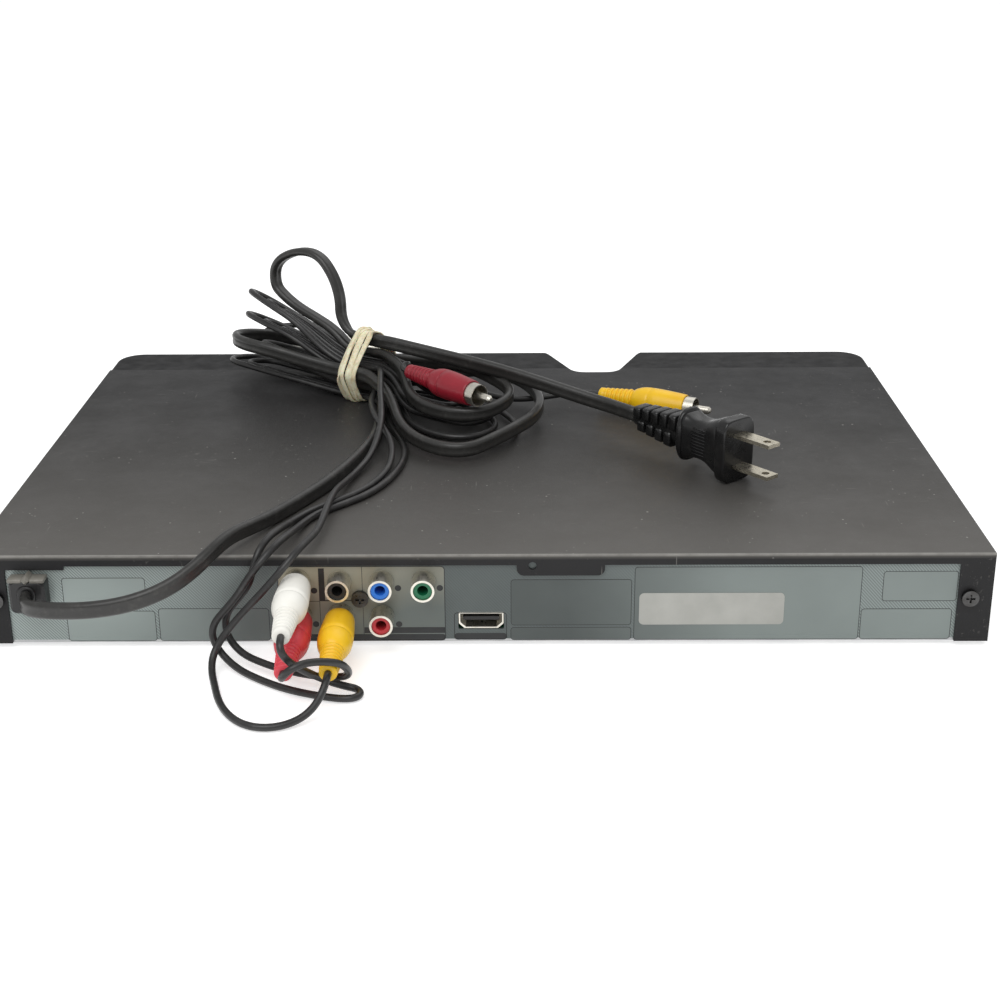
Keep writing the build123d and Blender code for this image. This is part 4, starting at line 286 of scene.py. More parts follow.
def components_mixed():
    """Black chips, and above them dark blue sleeves with bright can tops."""
    look = Look("components_mixed", roughness=0.4)
    high = look.ramp(look.axis("Z"), *CAN_LEVEL)
    facing = look.axis("Z", look.node("ShaderNodeTexCoord").outputs["Normal"])
    tops = look.times(high, look.ramp(facing, 0.8, 0.9))
    sleeve = look.mix(high, (0.013, 0.013, 0.015), (0.016, 0.026, 0.080))
    look.set("Base Color", look.mix(tops, sleeve, (0.46, 0.46, 0.47)))
    look.bump(look.noise(700, 3), 0.1, 0.00006)
    return look.material


def smoked_glass():
    """Dark glossy window with smears."""
    look = Look("smoked_window", color=(0.010, 0.010, 0.014), roughness=0.07,
                Coat_Weight=0.6, Coat_Roughness=0.04)
    smear = look.noise(60, 5, 0.7, look.stretched((1, 1, 3)))
    look.set("Roughness", look.ramp(smear, 0.4, 0.75, 0.05, 0.22))
    return look.material


def lens_glass():
    """Clear lens with a blue and violet coating."""
    look = Look("lens_coated", roughness=0.04, Transmission_Weight=0.6, IOR=1.5, Coat_Weight=0.8)
    ring = look.ramp(look.noise(500, 2), 0.3, 0.7)
    look.set("Base Color", look.mix(ring, (0.20, 0.30, 0.65), (0.42, 0.28, 0.62)))
    return look.material


LOOKS = {
    "sheet": sheet_black(),
    "panel": panel_silver(),
    "band": band_rubber(),
    "board": board_green(),
    "components": components_mixed(),
    "window": smoked_glass(),
    "lens": lens_glass(),
    "steel": metal("steel_bare", (0.50, 0.50, 0.50), (0.36, 0.37, 0.38), 0.36, (1, 8, 1), 60),
    "nickel": metal("nickel_plated", (0.80, 0.77, 0.69), (0.60, 0.57, 0.50), 0.34, (6, 1, 6), 90.0),
    "blade": metal("blade_nickel", (0.74, 0.69, 0.57), (0.58, 0.53, 0.42), 0.30, (1, 1, 6), 120.0),
    "screw": metal("screw_dark", (0.10, 0.10, 0.10), (0.055, 0.052, 0.050), 0.34),
    "motor": metal("motor_plated", (0.60, 0.60, 0.60), (0.45, 0.45, 0.46), 0.30),
    "bezel": moulded("bezel_black", (0.0090, 0.0090, 0.0098), (0.0130, 0.0128, 0.0135), 0.40,
                     1500, 0.00006, Specular_IOR_Level=0.10),
    "button": moulded("button_black", (0.014, 0.014, 0.016), (0.022, 0.022, 0.024), 0.28,
                      1200, 0.00004),
    "black": moulded("plastic_black", (0.0085, 0.0085, 0.0090), (0.015, 0.0145, 0.015), 0.40),
    "rubber": moulded("rubber_black", (0.014, 0.014, 0.014), (0.028, 0.027, 0.026), 0.72),
    "loader": moulded("loader_grey", (0.035, 0.036, 0.038), (0.048, 0.049, 0.051), 0.55),
    "tray": moulded("tray_black", (0.0125, 0.0125, 0.0135), (0.0150, 0.0150, 0.0160), 0.55,
                    2400, 0.00006, Specular_IOR_Level=0.3),
    "acetal": moulded("acetal_white", (0.74, 0.72, 0.66), (0.62, 0.60, 0.54), 0.42,
                      Subsurface_Weight=0.1, Subsurface_Scale=0.001),
    "ribbon": moulded("ribbon_white", (0.72, 0.73, 0.76), (0.62, 0.63, 0.67), 0.45),
    "red_in": moulded("insert_red", (0.62, 0.040, 0.050), (0.46, 0.028, 0.036), 0.36),
    "white_in": moulded("insert_white", (0.75, 0.74, 0.68), (0.60, 0.58, 0.52), 0.42),
    "yellow_in": moulded("insert_yellow", (0.78, 0.46, 0.020), (0.60, 0.34, 0.020), 0.42),
    "blue_in": moulded("insert_blue", (0.030, 0.220, 0.80), (0.022, 0.150, 0.60), 0.34),
    "green_in": moulded("insert_green", (0.010, 0.200, 0.090), (0.010, 0.150, 0.065), 0.34),
    "white_plug": moulded("plug_white", (0.97, 0.96, 0.90), (0.90, 0.88, 0.80), 0.36, 700, 0.00006),
    "red_plug": moulded("plug_red", (0.84, 0.075, 0.105), (0.72, 0.050, 0.075), 0.34, 700, 0.00006),
    # Painted shade: a darker copy of the red plastic for the far red plug
    "shaded_red_plug": moulded("plug_red_painted_shade", (0.34, 0.012, 0.028), (0.24, 0.010, 0.020), 0.36,
                            700, 0.0001),
    "yellow_plug": moulded("plug_yellow", (0.98, 0.60, 0.012), (0.92, 0.52, 0.010), 0.34,
                           700, 0.00006),
    "mains": rubbed_cord("mains_sheath", (0.0260, 0.0255, 0.0240), (0.085, 0.082, 0.075), 0.37),
    "signal": rubbed_cord("signal_sheath", (0.0210, 0.0207, 0.0205), (0.075, 0.073, 0.069), 0.36),
    "mains_plug": rubbed_cord("mains_plug_black", (0.0075, 0.0075, 0.0078),
                              (0.030, 0.029, 0.027), 0.27),
    "ink": moulded("ink_black", (0.012, 0.013, 0.014), (0.020, 0.021, 0.022), 0.45, 1200, 0.00003),
    "sticker": moulded("sticker_white", (0.50, 0.50, 0.465), (0.40, 0.40, 0.37), 0.5, 900, 0.00003),
    "tape": moulded("transformer_tape", (0.50, 0.33, 0.045), (0.38, 0.25, 0.035), 0.38,
                    300, 0.0001),
    "field": field_bare(),
    "warm": field_warm(),
    "ledge": rubbed_cord("gland_ledge", (0.20, 0.19, 0.165), (0.36, 0.34, 0.30), 0.45),
}

# The look of each CAD node
LOOK_NODES = {
    "steel": "chassis_pan clamp_bridge traverse_frame",
    "rubber": "feet drive_belt rubber_dampers",
    "panel": "rear_panel",
    "sheet": "top_cover",
    "bezel": "front_bezel tray_door",
    "window": "display_window",
    "button": "eject_button play_button power_button",
    "board": "front_board main_board power_board",
    "components": "main_board_parts power_capacitors",
    "tape": "transformer",
    "black": "av_jack_block hdmi_tongue mains_gland turntable pickup_body",
    "nickel": "av_jack_shells hdmi_shell av_plug_contacts",
    "red_in": "jack_inserts_red",
    "white_in": "jack_insert_white",
    "yellow_in": "jack_insert_yellow",
    "blue_in": "jack_insert_blue",
    "green_in": "jack_insert_green",
    "screw": "screws",
    "loader": "loader_frame",
    "acetal": "clamper tray_gear pulley_gear motor_pulley cam_slider sled_gear",
    "tray": "disc_tray",
    "motor": "loading_motor guide_rods spindle_motor sled_motor",
    "lens": "pickup_lens",
    "mains": "mains_cord_lead mains_cord_hank mains_cord_tail",
    "mains_plug": "mains_plug",
    "blade": "plug_blades",
    "white_plug": "av_plugs_white",
    "red_plug": "av_plugs_red",
    "yellow_plug": "av_plugs_yellow",
    "signal": "av_leads av_hank av_tails",
    "band": "rubber_bands",
    "ribbon": "inner_cables",
}
for look, names in LOOK_NODES.items():
    for name in names.split():
        data = nodes[name].data
        data.materials.clear()
        data.materials.append(LOOKS[look])


def show(obj, body, look, smooth=True):
    """Link a new piece, give it its look and let it ride."""
    if obj.name not in scene.collection.objects:
        scene.collection.objects.link(obj)
    if look:
        obj.data.materials.append(LOOKS[look])
    if smooth and obj.type == "MESH":
        obj.data.shade_smooth()
    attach(obj, body)
    return obj


def mesh_piece(name, verts, faces):
    """A mesh object from places in metres, not yet linked."""
    data = bpy.data.meshes.new(name)
    data.from_pydata([tuple(vert) for vert in verts], [], faces)
    data.update()
    return bpy.data.objects.new(name, data)


# Cords: the routes repeat those of the part's source, in millimetres. A bundle of loops is tied at
# its waist, where every cord passes through cells on each side of the tie
BUNDLE = radians(-33.0)
TIE_HALF = 5.0
WAIST = Vector((53.0, -60.0, 0.0))
ALONG = Vector((cos(BUNDLE), sin(BUNDLE), 0.0))
ACROSS = Vector((-ALONG.y, ALONG.x, 0.0))
UP = Vector((0.0, 0.0, 1.0))
MAINS_CELL = 5.8
LEAD_CELL = 3.3
MAINS_LOW = 43.6
MAINS_MID = 50.4
MAINS_MID_SIDE = 12.8
MAINS_HIGH = 56.8
MAINS_TOP = MAINS_HIGH + MAINS_CELL
LEAD_EDGE = 8.2
LEAD_END = LEAD_EDGE - 3 * LEAD_CELL
WHITE_Z = 38.3
RED_Z = 48.9
YELLOW_Z = 52.3
LEAVE_RUN = 9.0
LEAVE_TURN = 0.95
STRAIGHT = 1e-9


def cell(across, z, along):
    """A place in the waist of the bundle."""
    return WAIST + ALONG * along + ACROSS * across + UP * z


def leave(place, side, target):
    """The knot just outside the waist, where a cord has turned most of the way to its target."""
    to = (target - place).normalized()
    out = ALONG * side
    angle = acos(to.dot(out)) * LEAVE_TURN
    turned = (to - out * to.dot(out)).normalized()
    knot = place + (out * cos(angle / 2) + turned * sin(angle / 2)) * LEAVE_RUN
    return knot, out * cos(angle) + turned * sin(angle)


def loop(side, z, reach, half, near, far, yaw, lift, tilt):
    """Three knots of a loop: its two shoulders and its tip."""
    flat = ALONG * side * cos(radians(yaw)) + ACROSS * sin(radians(yaw))
    out = flat * cos(radians(lift)) + UP * sin(radians(lift))
    wide = ACROSS * cos(radians(tilt)) + UP * sin(radians(tilt))
    base = cell(0, z, side * TIE_HALF)
    near_shoulder = base + out * near + wide * half
    far_shoulder = base + out * far - wide * half
    tip = base + out * reach
    if side > 0:
        return [(near_shoulder, out), (tip, -wide), (far_shoulder, -out)]
    return [(far_shoulder, out), (tip, wide), (near_shoulder, -out)]


def standing_loop(places):
    """A loop that stands up, from places along the bundle, their heights and angles."""
    knots = []
    for along, z, angle in places:
        knots.append((cell(0, z, along), ALONG * cos(radians(angle)) + UP * sin(radians(angle))))
    return knots


def hank(cells, loops, standing=None):
    """Places and directions that one cord's loops pass through, from waist to waist."""
    knots = []
    for index, (across, z) in enumerate(cells):
        side = 1 if index % 2 == 0 else -1
        enter = cell(across, z, -side * TIE_HALF)
        goes = cell(across, z, side * TIE_HALF)
        if index > 0:
            back, way = leave(enter, -side, knots[-1][0])
            knots.append((back, -way))
        knots.append((enter, ALONG * side))
        knots.append((goes, ALONG * side))
        if index < len(cells) - 1:
            if index != standing:
                knots.append(leave(goes, side, loops[index][0][0]))
            knots += loops[index]
    return knots


def turns(knots):
    """Control points of the loops: two for each stretch, on the directions at its ends."""
    points = []
    for (start, way), (end, end_way) in zip(knots, knots[1:]):
        chord = end - start
        bend = 2 * (1 - way.dot(end_way))
        reach = 2 * chord.dot(way + end_way)
        square = chord.dot(chord)
        if bend < STRAIGHT:
            arm = square / reach
        else:
            arm = (sqrt(reach * reach + 4 * bend * square) - reach) / (2 * bend)
        points += [start + way * arm, end - end_way * arm]
    return points


def lead_coil(z, passes, left, right, right_z):
    """The loops of one thin core, each smaller than the one before."""
    reach, half, lift, tilt = left
    right_reach, right_half, shrink, near, far, yaw = right
    cells = []
    loops = []
    for number in range(3):
        cells += [(LEAD_EDGE - LEAD_CELL * number, z), (LEAD_CELL * number - LEAD_EDGE, z)]
        loops.append(loop(1, z, reach - 9 * number, half - 4.5 * number, 36, 36, 2, lift, tilt))
        size = (right_reach - 11 * number, right_half - shrink * number)
        loops.append(loop(-1, right_z, *size, near, far, yaw, 0, 0))
    return turns(hank(cells[:passes], loops[: passes - 1]))


MAINS_COIL = turns(hank(
    [(MAINS_CELL, MAINS_LOW), (-MAINS_CELL, MAINS_LOW), (MAINS_MID_SIDE, MAINS_MID),
     (-MAINS_MID_SIDE, MAINS_MID), (0, MAINS_HIGH), (0, MAINS_TOP)],
    [
        loop(1, MAINS_LOW, 52, 13, 32, 32, 2, 8, 20),
        loop(-1, MAINS_LOW + 0.9, 86, 41, 68, 42, 9, -1, -3),
        loop(1, MAINS_MID, 64, 22, 42, 42, 3, 4, 12),
        loop(-1, MAINS_MID + 2.1, 74, 20, 50, 38, 9, -3, -8),
        standing_loop([(24, 66, 22), (44, 74, 28), (52.5, 84, 96), (32, 98, 180), (16.5, 84, 250)]),
    ],
    standing=4,
))
WHITE_COIL = lead_coil(WHITE_Z, 5, (70, 13.4, 4, 10), (84, 26, 8, 52, 44, 15), WHITE_Z)
RED_COIL = lead_coil(RED_Z, 6, (62, 13.4, 15, 24), (68, 14, 5.5, 38, 34, 12), WHITE_Z + 3.7)
YELLOW_COIL = lead_coil(YELLOW_Z, 6, (62, 13.4, 22, 28), (62, 12, 5, 36, 32, 12), WHITE_Z + 7.0)

GLAND = (159.3, 125.75, 22.4)
WHITE_JACK = (65.0, 25.8)
RED_JACK = (65.0, 12.4)
YELLOW_JACK = (50.1, 12.4)
PLUG_Y = 164.0

MAINS_LEAD = [
    GLAND, (159.3, 131, 22.4), (154.6, 136.8, 23.2), (144.5, 140.5, 24.3), (134, 143, 25.6),
    (123, 143.2, 27.2), (113, 141.5, 29.6), (104.5, 138, 32.8), (97.5, 133, 37), (92, 126.5, 41),
    (88, 118, 42.3), (83.5, 107.5, 41), (77.5, 94.5, 39.4), (70, 79, 39), (62, 62.5, 39),
    (55, 44, 39), (49.5, 25, 39), (45.8, 6, 39), (45.2, -8, 39.4), (45, -18, 41), (45, -28, 42.4),
    (44.6, -37, 43.3), (44.7, -43.6, 43.4), cell(MAINS_CELL, MAINS_LOW, -TIE_HALF - 5.9),
]
WHITE_LEAD = [
    (65, PLUG_Y, 25.8), (65, 167.2, 25.8), (64.4, 169.8, 22.6), (61.2, 167.2, 17.2),
    (57.2, 162.6, 12.2), (53.6, 158.6, 8), (49.4, 155.9, 4.6), (45.2, 154.6, 2.6),
    (41.6, 154.9, 1.9), (39.9, 157.9, 1.7), (41.6, 161, 1.6), (46.5, 161.6, 1.6), (55, 159.2, 1.6),
    (65.5, 154.8, 1.6), (75, 148.5, 1.7), (83.8, 141.3, 2.1), (90.3, 135, 4.6), (94.2, 131.8, 9.5),
    (93.4, 130.8, 15), (88.8, 130.1, 20), (84.3, 129.7, 25.5), (80.5, 129.4, 31.5),
    (75.8, 128.4, 37.4), (71.2, 122.8, 41.3), (68.2, 112.5, 40.7), (66.2, 100, 38.5),
    (64, 91, 37.6), (60, 83.3, 37.5), (52.2, 75.4, 37.5), (44, 65.6, 37.5), (38, 53, 37.5),
    (34, 38.5, 37.5), (32.4, 23.5, 37.5), (33.4, 10, 37.5), (36.9, -2.5, 37.5), (40.8, -14, 37.5),
    (44, -26, 37.6), (46.4, -37, 37.9), (47.6, -44, 38.2), cell(LEAD_EDGE, WHITE_Z, -TIE_HALF - 4),
]
RED_LEAD = [
    (65, PLUG_Y, 12.4), (65, 167.6, 12.4), (64.4, 171.2, 14.6), (61.4, 172.8, 18.4),
    (57, 170.6, 19.6), (51.5, 167, 18.4), (45.8, 163.2, 15.8), (43.8, 158.8, 10.9),
    (44.4, 154.6, 6.9), (47, 152.1, 4.9), (52.5, 151.8, 4.6), (60, 149.6, 4.6), (68, 146, 4.6),
    (75.5, 141, 4.6), (82.5, 135.8, 5), (87.6, 131, 7.5), (90, 128.3, 12), (89.2, 127, 17.3),
    (85.2, 126.3, 22), (81, 125.9, 27.3), (79.3, 125.6, 33), (77.6, 124.2, 38.6), (74.8, 118, 41.8),
    (72, 108, 40.9), (70.3, 97.5, 38.6), (68, 89.8, 37.7), (63.3, 81.2, 37.5), (55.2, 72.7, 37.5),
    (47.2, 62.7, 37.5), (41.3, 50.8, 37.6), (37.6, 38.5, 38.6), (37, 27, 40.6), (38.6, 16.5, 42.3),
    (42, 6, 43.3), (45.6, -4.6, 44.2), (48.2, -14, 44.7), (49.5, -24, 45), (49.5, -31.5, 45.1),
    (49.1, -37.5, 45.2), (48.5, -42, 45.7), (48, -45.2, 47.2),
    cell(LEAD_EDGE, RED_Z, -TIE_HALF - 4),
]
YELLOW_LEAD = [
    (50.1, PLUG_Y, 12.4), (50.1, 167.4, 12.4), (51.2, 171.2, 9.4), (54.1, 174.2, 5),
    (58.5, 177.2, 2.4), (64.5, 180.4, 1.6), (71.5, 181.2, 1.6), (78, 178, 1.6), (83.6, 171, 1.6),
    (87.6, 162, 1.6), (90.4, 152, 1.7), (92.8, 143.5, 2.6), (93.2, 138, 5.6), (90.6, 135.2, 10.5),
    (86.6, 134.2, 15.5), (82.2, 133.6, 20.5), (77.4, 133, 25.5), (72.3, 132.2, 31),
    (67.2, 130.6, 36.6), (63.2, 126.2, 40.6), (60.4, 117.5, 41), (58.6, 107, 39.8),
    (57.6, 95, 40.4), (57, 83.5, 41), (55.8, 70, 41), (53.6, 56.5, 38.9), (50.3, 43, 38.2),
    (46.2, 30, 39.4), (43.7, 18, 43.2), (42.9, 6, 46.7), (43.6, -5, 49), (44.8, -16, 51.5),
    (45.5, -27, 53.6), (46.1, -36.6, 55), (47.1, -43, 54), cell(LEAD_EDGE, YELLOW_Z, -TIE_HALF - 5),
]
MAINS_PLUG = (Vector((-62.1, 6.6, 49)), Vector((-0.648, 0.762, 0)).normalized())
WHITE_FAR = (Vector((97, -118, 42.5)), Vector((-1, 0.1, 0)).normalized())
RED_FAR = (Vector((33.1, -28.1, 57.4)), Vector((-0.688, 0.725, -0.015)).normalized())
YELLOW_FAR = (Vector((-49.5, -41.2, 42.5)), Vector((-0.89, 0.456, 0)).normalized())
MAINS_TAIL = [
    cell(0, MAINS_TOP, -TIE_HALF - 6.9), (34, -49.2, 61.6), (23, -44.5, 60.2), (9.5, -37.7, 58.8),
    (-4.8, -30, 57.2), (-18.5, -22.8, 55), (-31, -16.5, 52.6), (-42, -11.2, 50.4),
    MAINS_PLUG[0] - MAINS_PLUG[1] * 16, MAINS_PLUG[0],
]
WHITE_TAIL = [
    cell(-LEAD_END, WHITE_Z, TIE_HALF + 4), (65.9, -66.9, 38.8), (71.2, -71.8, 40.2),
    (75.8, -78, 42.8), (78.6, -85.1, 46.3), (78.9, -92.9, 50.4), (77.8, -100.8, 54),
    (79.3, -108.4, 55.3), (84.6, -114, 54.5), (92, -117, 53.4), (99.5, -118.2, 52.8),
    (106.3, -118.9, 51.2), (110, -119.3, 47.4), (108, -119.1, 43.6),
    WHITE_FAR[0] - WHITE_FAR[1] * 5, WHITE_FAR[0],
]
RED_TAIL = [
    cell(LEAD_END, RED_Z, -TIE_HALF - 2.5), (43.2, -54.8, RED_Z), (40.1, -51.5, 49.4),
    (36.8, -48, 51.3), (34.4, -44.5, 54.7), (34.4, -40.5, 57.2), (36.3, -35.2, 57.8),
    RED_FAR[0] - RED_FAR[1] * 4, RED_FAR[0],
]
YELLOW_TAIL = [
    cell(LEAD_END, YELLOW_Z, -TIE_HALF - 4), (39.8, -52.9, 52.7), (33.3, -49.6, 52.6),
    (25.8, -46.9, 51.4), (18.2, -44.9, 48.9), (11, -43.3, 46.3), (4.1, -42.3, 43.8),
    (-2.9, -41.9, 41.7), (-9.8, -42, 40.3), (-17.4, -43, 39.9), (-25.8, -44.5, 40.5),
    (-34.4, -45.5, 41.5), YELLOW_FAR[0] - YELLOW_FAR[1] * 8, YELLOW_FAR[0],
]


def spline_object(name, points, radius=0.0):
    """One smooth spline on these control points, as a curve object in metres."""
    data = bpy.data.curves.new(name, "CURVE")
    data.dimensions = "3D"
    data.resolution_u = 8
    spline = data.splines.new("NURBS")
    spline.points.add(len(points) - 1)
    for point, place in zip(spline.points, points):
        point.co = (*(Vector(place) * MM), 1.0)
    spline.order_u = 3
    spline.use_endpoint_u = True
    data.bevel_depth = radius * MM
    data.bevel_resolution = 5
    data.use_fill_caps = True
    return bpy.data.objects.new(name, data)


def followed(points):
    """The places along the smooth spline on these control points, in metres."""
    guide = spline_object("guide", points)
    scene.collection.objects.link(guide)
    line = bpy.data.meshes.new_from_object(guide)
    places = [vertex.co.copy() for vertex in line.vertices]
    bpy.data.objects.remove(guide)
    bpy.data.meshes.remove(line)
    return places


def tube_faces(rings, count):
    """Faces of a tube with closed ends, through rings of count points."""
    faces = []
    for ring in range(rings - 1):
        for step in range(count):
            a = ring * count + step
            b = ring * count + (step + 1) % count
            faces.append((a, b, b + count, a + count))
    faces.append(tuple(range(count - 1, -1, -1)))
    last = (rings - 1) * count
    faces.append(tuple(range(last, last + count)))
    return faces


def run_length(places):
    """The length of a run through places."""
    return sum((b - a).length for a, b in zip(places, places[1:]))


FLAT_STEPS = 20
GROOVE_DEPTH = 0.16
GROOVE_WIDTH = 0.35


def flat_tube(name, places, half_width, half_thick, widths):
    """A flat twin cord swept along places; widths gives the broad direction at each."""
    section = []
    flat_half = half_width - half_thick
    for step in range(FLAT_STEPS):
        angle = 2 * pi * step / FLAT_STEPS
        across = half_width * cos(angle)
        if abs(across) < flat_half:
            share = 1.0 - GROOVE_DEPTH * max(0.0, 1.0 - (across / (GROOVE_WIDTH * half_width)) ** 2)
        else:
            share = sqrt(max(0.0, 1.0 - ((abs(across) - flat_half) / half_thick) ** 2))
        thick = half_thick * share
        section.append((across, thick if sin(angle) >= 0 else -thick))
    verts = []
    for index, place in enumerate(places):
        ahead = places[min(index + 1, len(places) - 1)]
        behind = places[max(index - 1, 0)]
        way = (ahead - behind).normalized()
        wide = widths[index] - way * widths[index].dot(way)
        wide.normalize()
        thin = way.cross(wide)
        for across, out in section:
            verts.append(place + wide * across * MM + thin * out * MM)
    return mesh_piece(name, verts, tube_faces(len(places), len(section)))


def turned_widths(places, keys):
    """The broad direction along a cord, from keys of (share of its length, direction)."""
    total = run_length(places)
    widths = []
    done = 0.0
    for index, place in enumerate(places):
        if index:
            done += (place - places[index - 1]).length
        share = done / total
        for (at, first), (to, second) in zip(keys, keys[1:]):
            if share <= to:
                amount = min(max((share - at) / (to - at), 0.0), 1.0)
                amount = amount * amount * (3 - 2 * amount)
                widths.append(Vector(first).lerp(Vector(second), amount).normalized())
                break
        else:
            widths.append(Vector(keys[-1][1]).normalized())
    return widths


# The mains cord, and the broad direction of its section at shares of its length of 1303 mm
mains_places = followed(MAINS_LEAD + MAINS_COIL[1:] + MAINS_TAIL)
LEAD_SHARE = 275 / 1303
UPRIGHT = (0, 0, 1)
STANDING = (0.545, 0.839, 0.1)
WIDTH_KEYS = [
    (0.0, UPRIGHT), (0.08, (0, 0.15, 1)), (0.13, (0.3, 0.5, 0.8)), (0.18, (0.1, 0.2, 1)),
    (LEAD_SHARE, UPRIGHT), (0.76, UPRIGHT), (0.80, STANDING), (0.87, STANDING), (0.91, UPRIGHT),
    (1.0, UPRIGHT),
]
MAINS_WIDTH = 6.2
MAINS_THICK = 3.6
mains_widths = turned_widths(mains_places, WIDTH_KEYS)
mains_cord = flat_tube("mains_cord", mains_places, MAINS_WIDTH / 2, MAINS_THICK / 2, mains_widths)
show(mains_cord, "case", "mains")
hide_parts("mains_cord_lead", "mains_cord_hank", "mains_cord_tail")


def at_plug(place, way):
    """The frame of a plug: its axis is Z, and X points up."""
    upward = UP - way * UP.dot(way)
    upward.normalize()
    side = way.cross(upward)
    turned = Matrix((upward, side, way)).transposed().to_4x4()
    return Matrix.Translation(place * MM) @ turned


def lathe(name, frame_at, profile, count=48):
    """A turned form: profile gives height and radius."""
    verts = []
    for height, radius in profile:
        for step in range(count):
            angle = 2 * pi * step / count
            place = Vector((radius * cos(angle) * MM, radius * sin(angle) * MM, height * MM))
            verts.append(frame_at @ place)
    return mesh_piece(name, verts, tube_faces(len(profile), count))


# A phono plug's profile, as height from the cord's end and radius
TAIL_RIBS = 6
RIB_LOW = 2.8
RIB_PITCH = 2.15
RIB_CREST = 3.40
RIB_ROOT = 2.60
RIB_SWELL = 0.17
TAIL_END = [(0.0, 1.6), (0.05, 2.75), (0.35, 3.1), (2.0, 3.2), (2.4, 3.0)]
BARREL = [
    (15.8, 3.95), (17.2, 4.85), (19.0, 5.55), (21.0, 5.98), (23.0, 6.15), (23.6, 6.16),
    (23.75, 6.02), (24.0, 6.02), (24.15, 6.16), (27.0, 6.15), (31.0, 5.98), (35.0, 5.72),
    (38.6, 5.46), (39.5, 5.36), (39.9, 5.15), (40.0, 4.95), (39.9, 4.78), (39.0, 4.72),
    (28.3, 4.72), (28.2, 0.5),
]


def phono_plug(name, place, way, look, slot_name):
    """A moulded phono plug: ribbed tail, swelling barrel with a parting ring, open mouth."""
    profile = list(TAIL_END)
    for rib in range(TAIL_RIBS):
        low = RIB_LOW + RIB_PITCH * rib
        crest = RIB_CREST + RIB_SWELL * rib
        root = RIB_ROOT + RIB_SWELL * rib
        profile += [(low, root), (low + 0.12, crest - 0.12), (low + 0.35, crest),
                    (low + 1.05, crest), (low + 1.28, crest - 0.12), (low + 1.4, root),
                    (low + 2.0, root)]
    piece = lathe(name, at_plug(place, way), profile + BARREL)
    show(piece, "case", look)
    return piece


NEAR_WAY = Vector((0.0, -1.0, 0.0))
PLUG_PLACES = {
    "white": (WHITE_JACK, WHITE_FAR, "white_plug"),
    "red": (RED_JACK, RED_FAR, "shaded_red_plug"),
    # The far red plug takes the darker red, which is painted shade
    "yellow": (YELLOW_JACK, YELLOW_FAR, "yellow_plug"),
}
for core, (jack, far_place, far_look) in PLUG_PLACES.items():
    near_place = Vector((jack[0], PLUG_Y, jack[1]))
    near = phono_plug(f"plug_near_{core}", near_place, NEAR_WAY, f"{core}_plug", f"plug_{core}")
    far = phono_plug(f"plug_far_{core}", *far_place, far_look, f"plug_{core}")
    for piece in (near, far):
        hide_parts(f"av_plugs_{core}")


def rounded_section(half_x, half_y, power=3.2, count=40):
    """Points of a rounded rectangle, about as boxy as power is high."""
    points = []
    for step in range(count):
        angle = 2 * pi * step / count
        c, s = cos(angle), sin(angle)
        points.append((half_x * abs(c) ** (2 / power) * (1 if c >= 0 else -1),
                       half_y * abs(s) ** (2 / power) * (1 if s >= 0 else -1)))
    return points


def stacked(bm, frame_at, stations, power=3.2, shift=(0.0, 0.0)):
    """A closed form through rounded sections: height, half width up, half width across."""
    rings = []
    for height, half_x, half_y in stations:
        ring = []
        for x, y in rounded_section(half_x, half_y, power):
            place = Vector(((x + shift[0]) * MM, (y + shift[1]) * MM, height * MM))
            ring.append(bm.verts.new(frame_at @ place))
        rings.append(ring)
    count = len(rings[0])
    for low, high in zip(rings, rings[1:]):
        for step in range(count):
            after = (step + 1) % count
            bm.faces.new((low[step], low[after], high[after], high[step]))
    bm.faces.new(list(reversed(rings[0])))
    bm.faces.new(rings[-1])


def bm_piece(name, bm):
    """A mesh object from a finished bmesh, not yet linked."""
    data = bpy.data.meshes.new(name)
    bm.to_mesh(data)
    bm.free()
    return bpy.data.objects.new(name, data)


# Mains plug: a tail with relief blocks, a flange, a waisted grip and a collar. Each is a stack of
# rounded sections: height from the cord's end, half width up, half width across
RELIEF_ROWS = ((1, 1.6), (-1, 4.0))
RELIEF_PITCH = 5.3
RELIEF_LENGTH = 3.9
RELIEF_TOP = 29.0
RELIEF_CORE = [(0.0, 3.4, 2.2), (0.6, 3.7, 2.5), (14.0, 4.4, 3.4), (29.5, 5.6, 4.6)]
FLANGE = [
    (28.2, 8.8, 5.6), (28.9, 10.6, 7.1), (29.6, 11.0, 7.5), (30.6, 10.7, 7.2), (31.4, 9.6, 6.3),
]
GRIP = [
    (30.6, 10.0, 6.6), (32.0, 9.3, 6.2), (34.0, 8.5, 5.85), (37.0, 8.1, 5.65), (40.0, 8.2, 5.7),
    (42.5, 8.8, 5.9), (45.0, 9.9, 6.4), (47.0, 10.8, 6.9), (49.0, 11.5, 7.3), (51.2, 11.9, 7.6),
]
COLLAR = [
    (50.6, 11.9, 7.7), (50.9, 12.5, 8.3), (51.4, 12.7, 8.5), (55.4, 12.7, 8.5), (55.9, 12.5, 8.3),
    (56.0, 12.1, 7.9),
]

plug_frame = at_plug(*MAINS_PLUG)
bm = bmesh.new()
stacked(bm, plug_frame, RELIEF_CORE, 2.6)
for number in range(5):
    for side, start in RELIEF_ROWS:
        low = start + RELIEF_PITCH * number
        if low + RELIEF_LENGTH > RELIEF_TOP:
            continue
        half_up = 2.35 + 0.28 * number
        half_out = 4.1 + 0.3472 * number
        stations = [
            (low, half_up - 0.5, half_out - 0.5), (low + 0.35, half_up, half_out),
            (low + 3.4, half_up + 0.12, half_out + 0.1),
            (low + 3.8, half_up - 0.4, half_out - 0.45),
        ]
        stacked(bm, plug_frame, stations, 5.0, (side * (half_up + 0.35), 0.0))
stacked(bm, plug_frame, FLANGE, 2.6)
stacked(bm, plug_frame, GRIP, 3.6)
stacked(bm, plug_frame, COLLAR, 5.0)
mains_plug_body = bm_piece("mains_plug_body", bm)
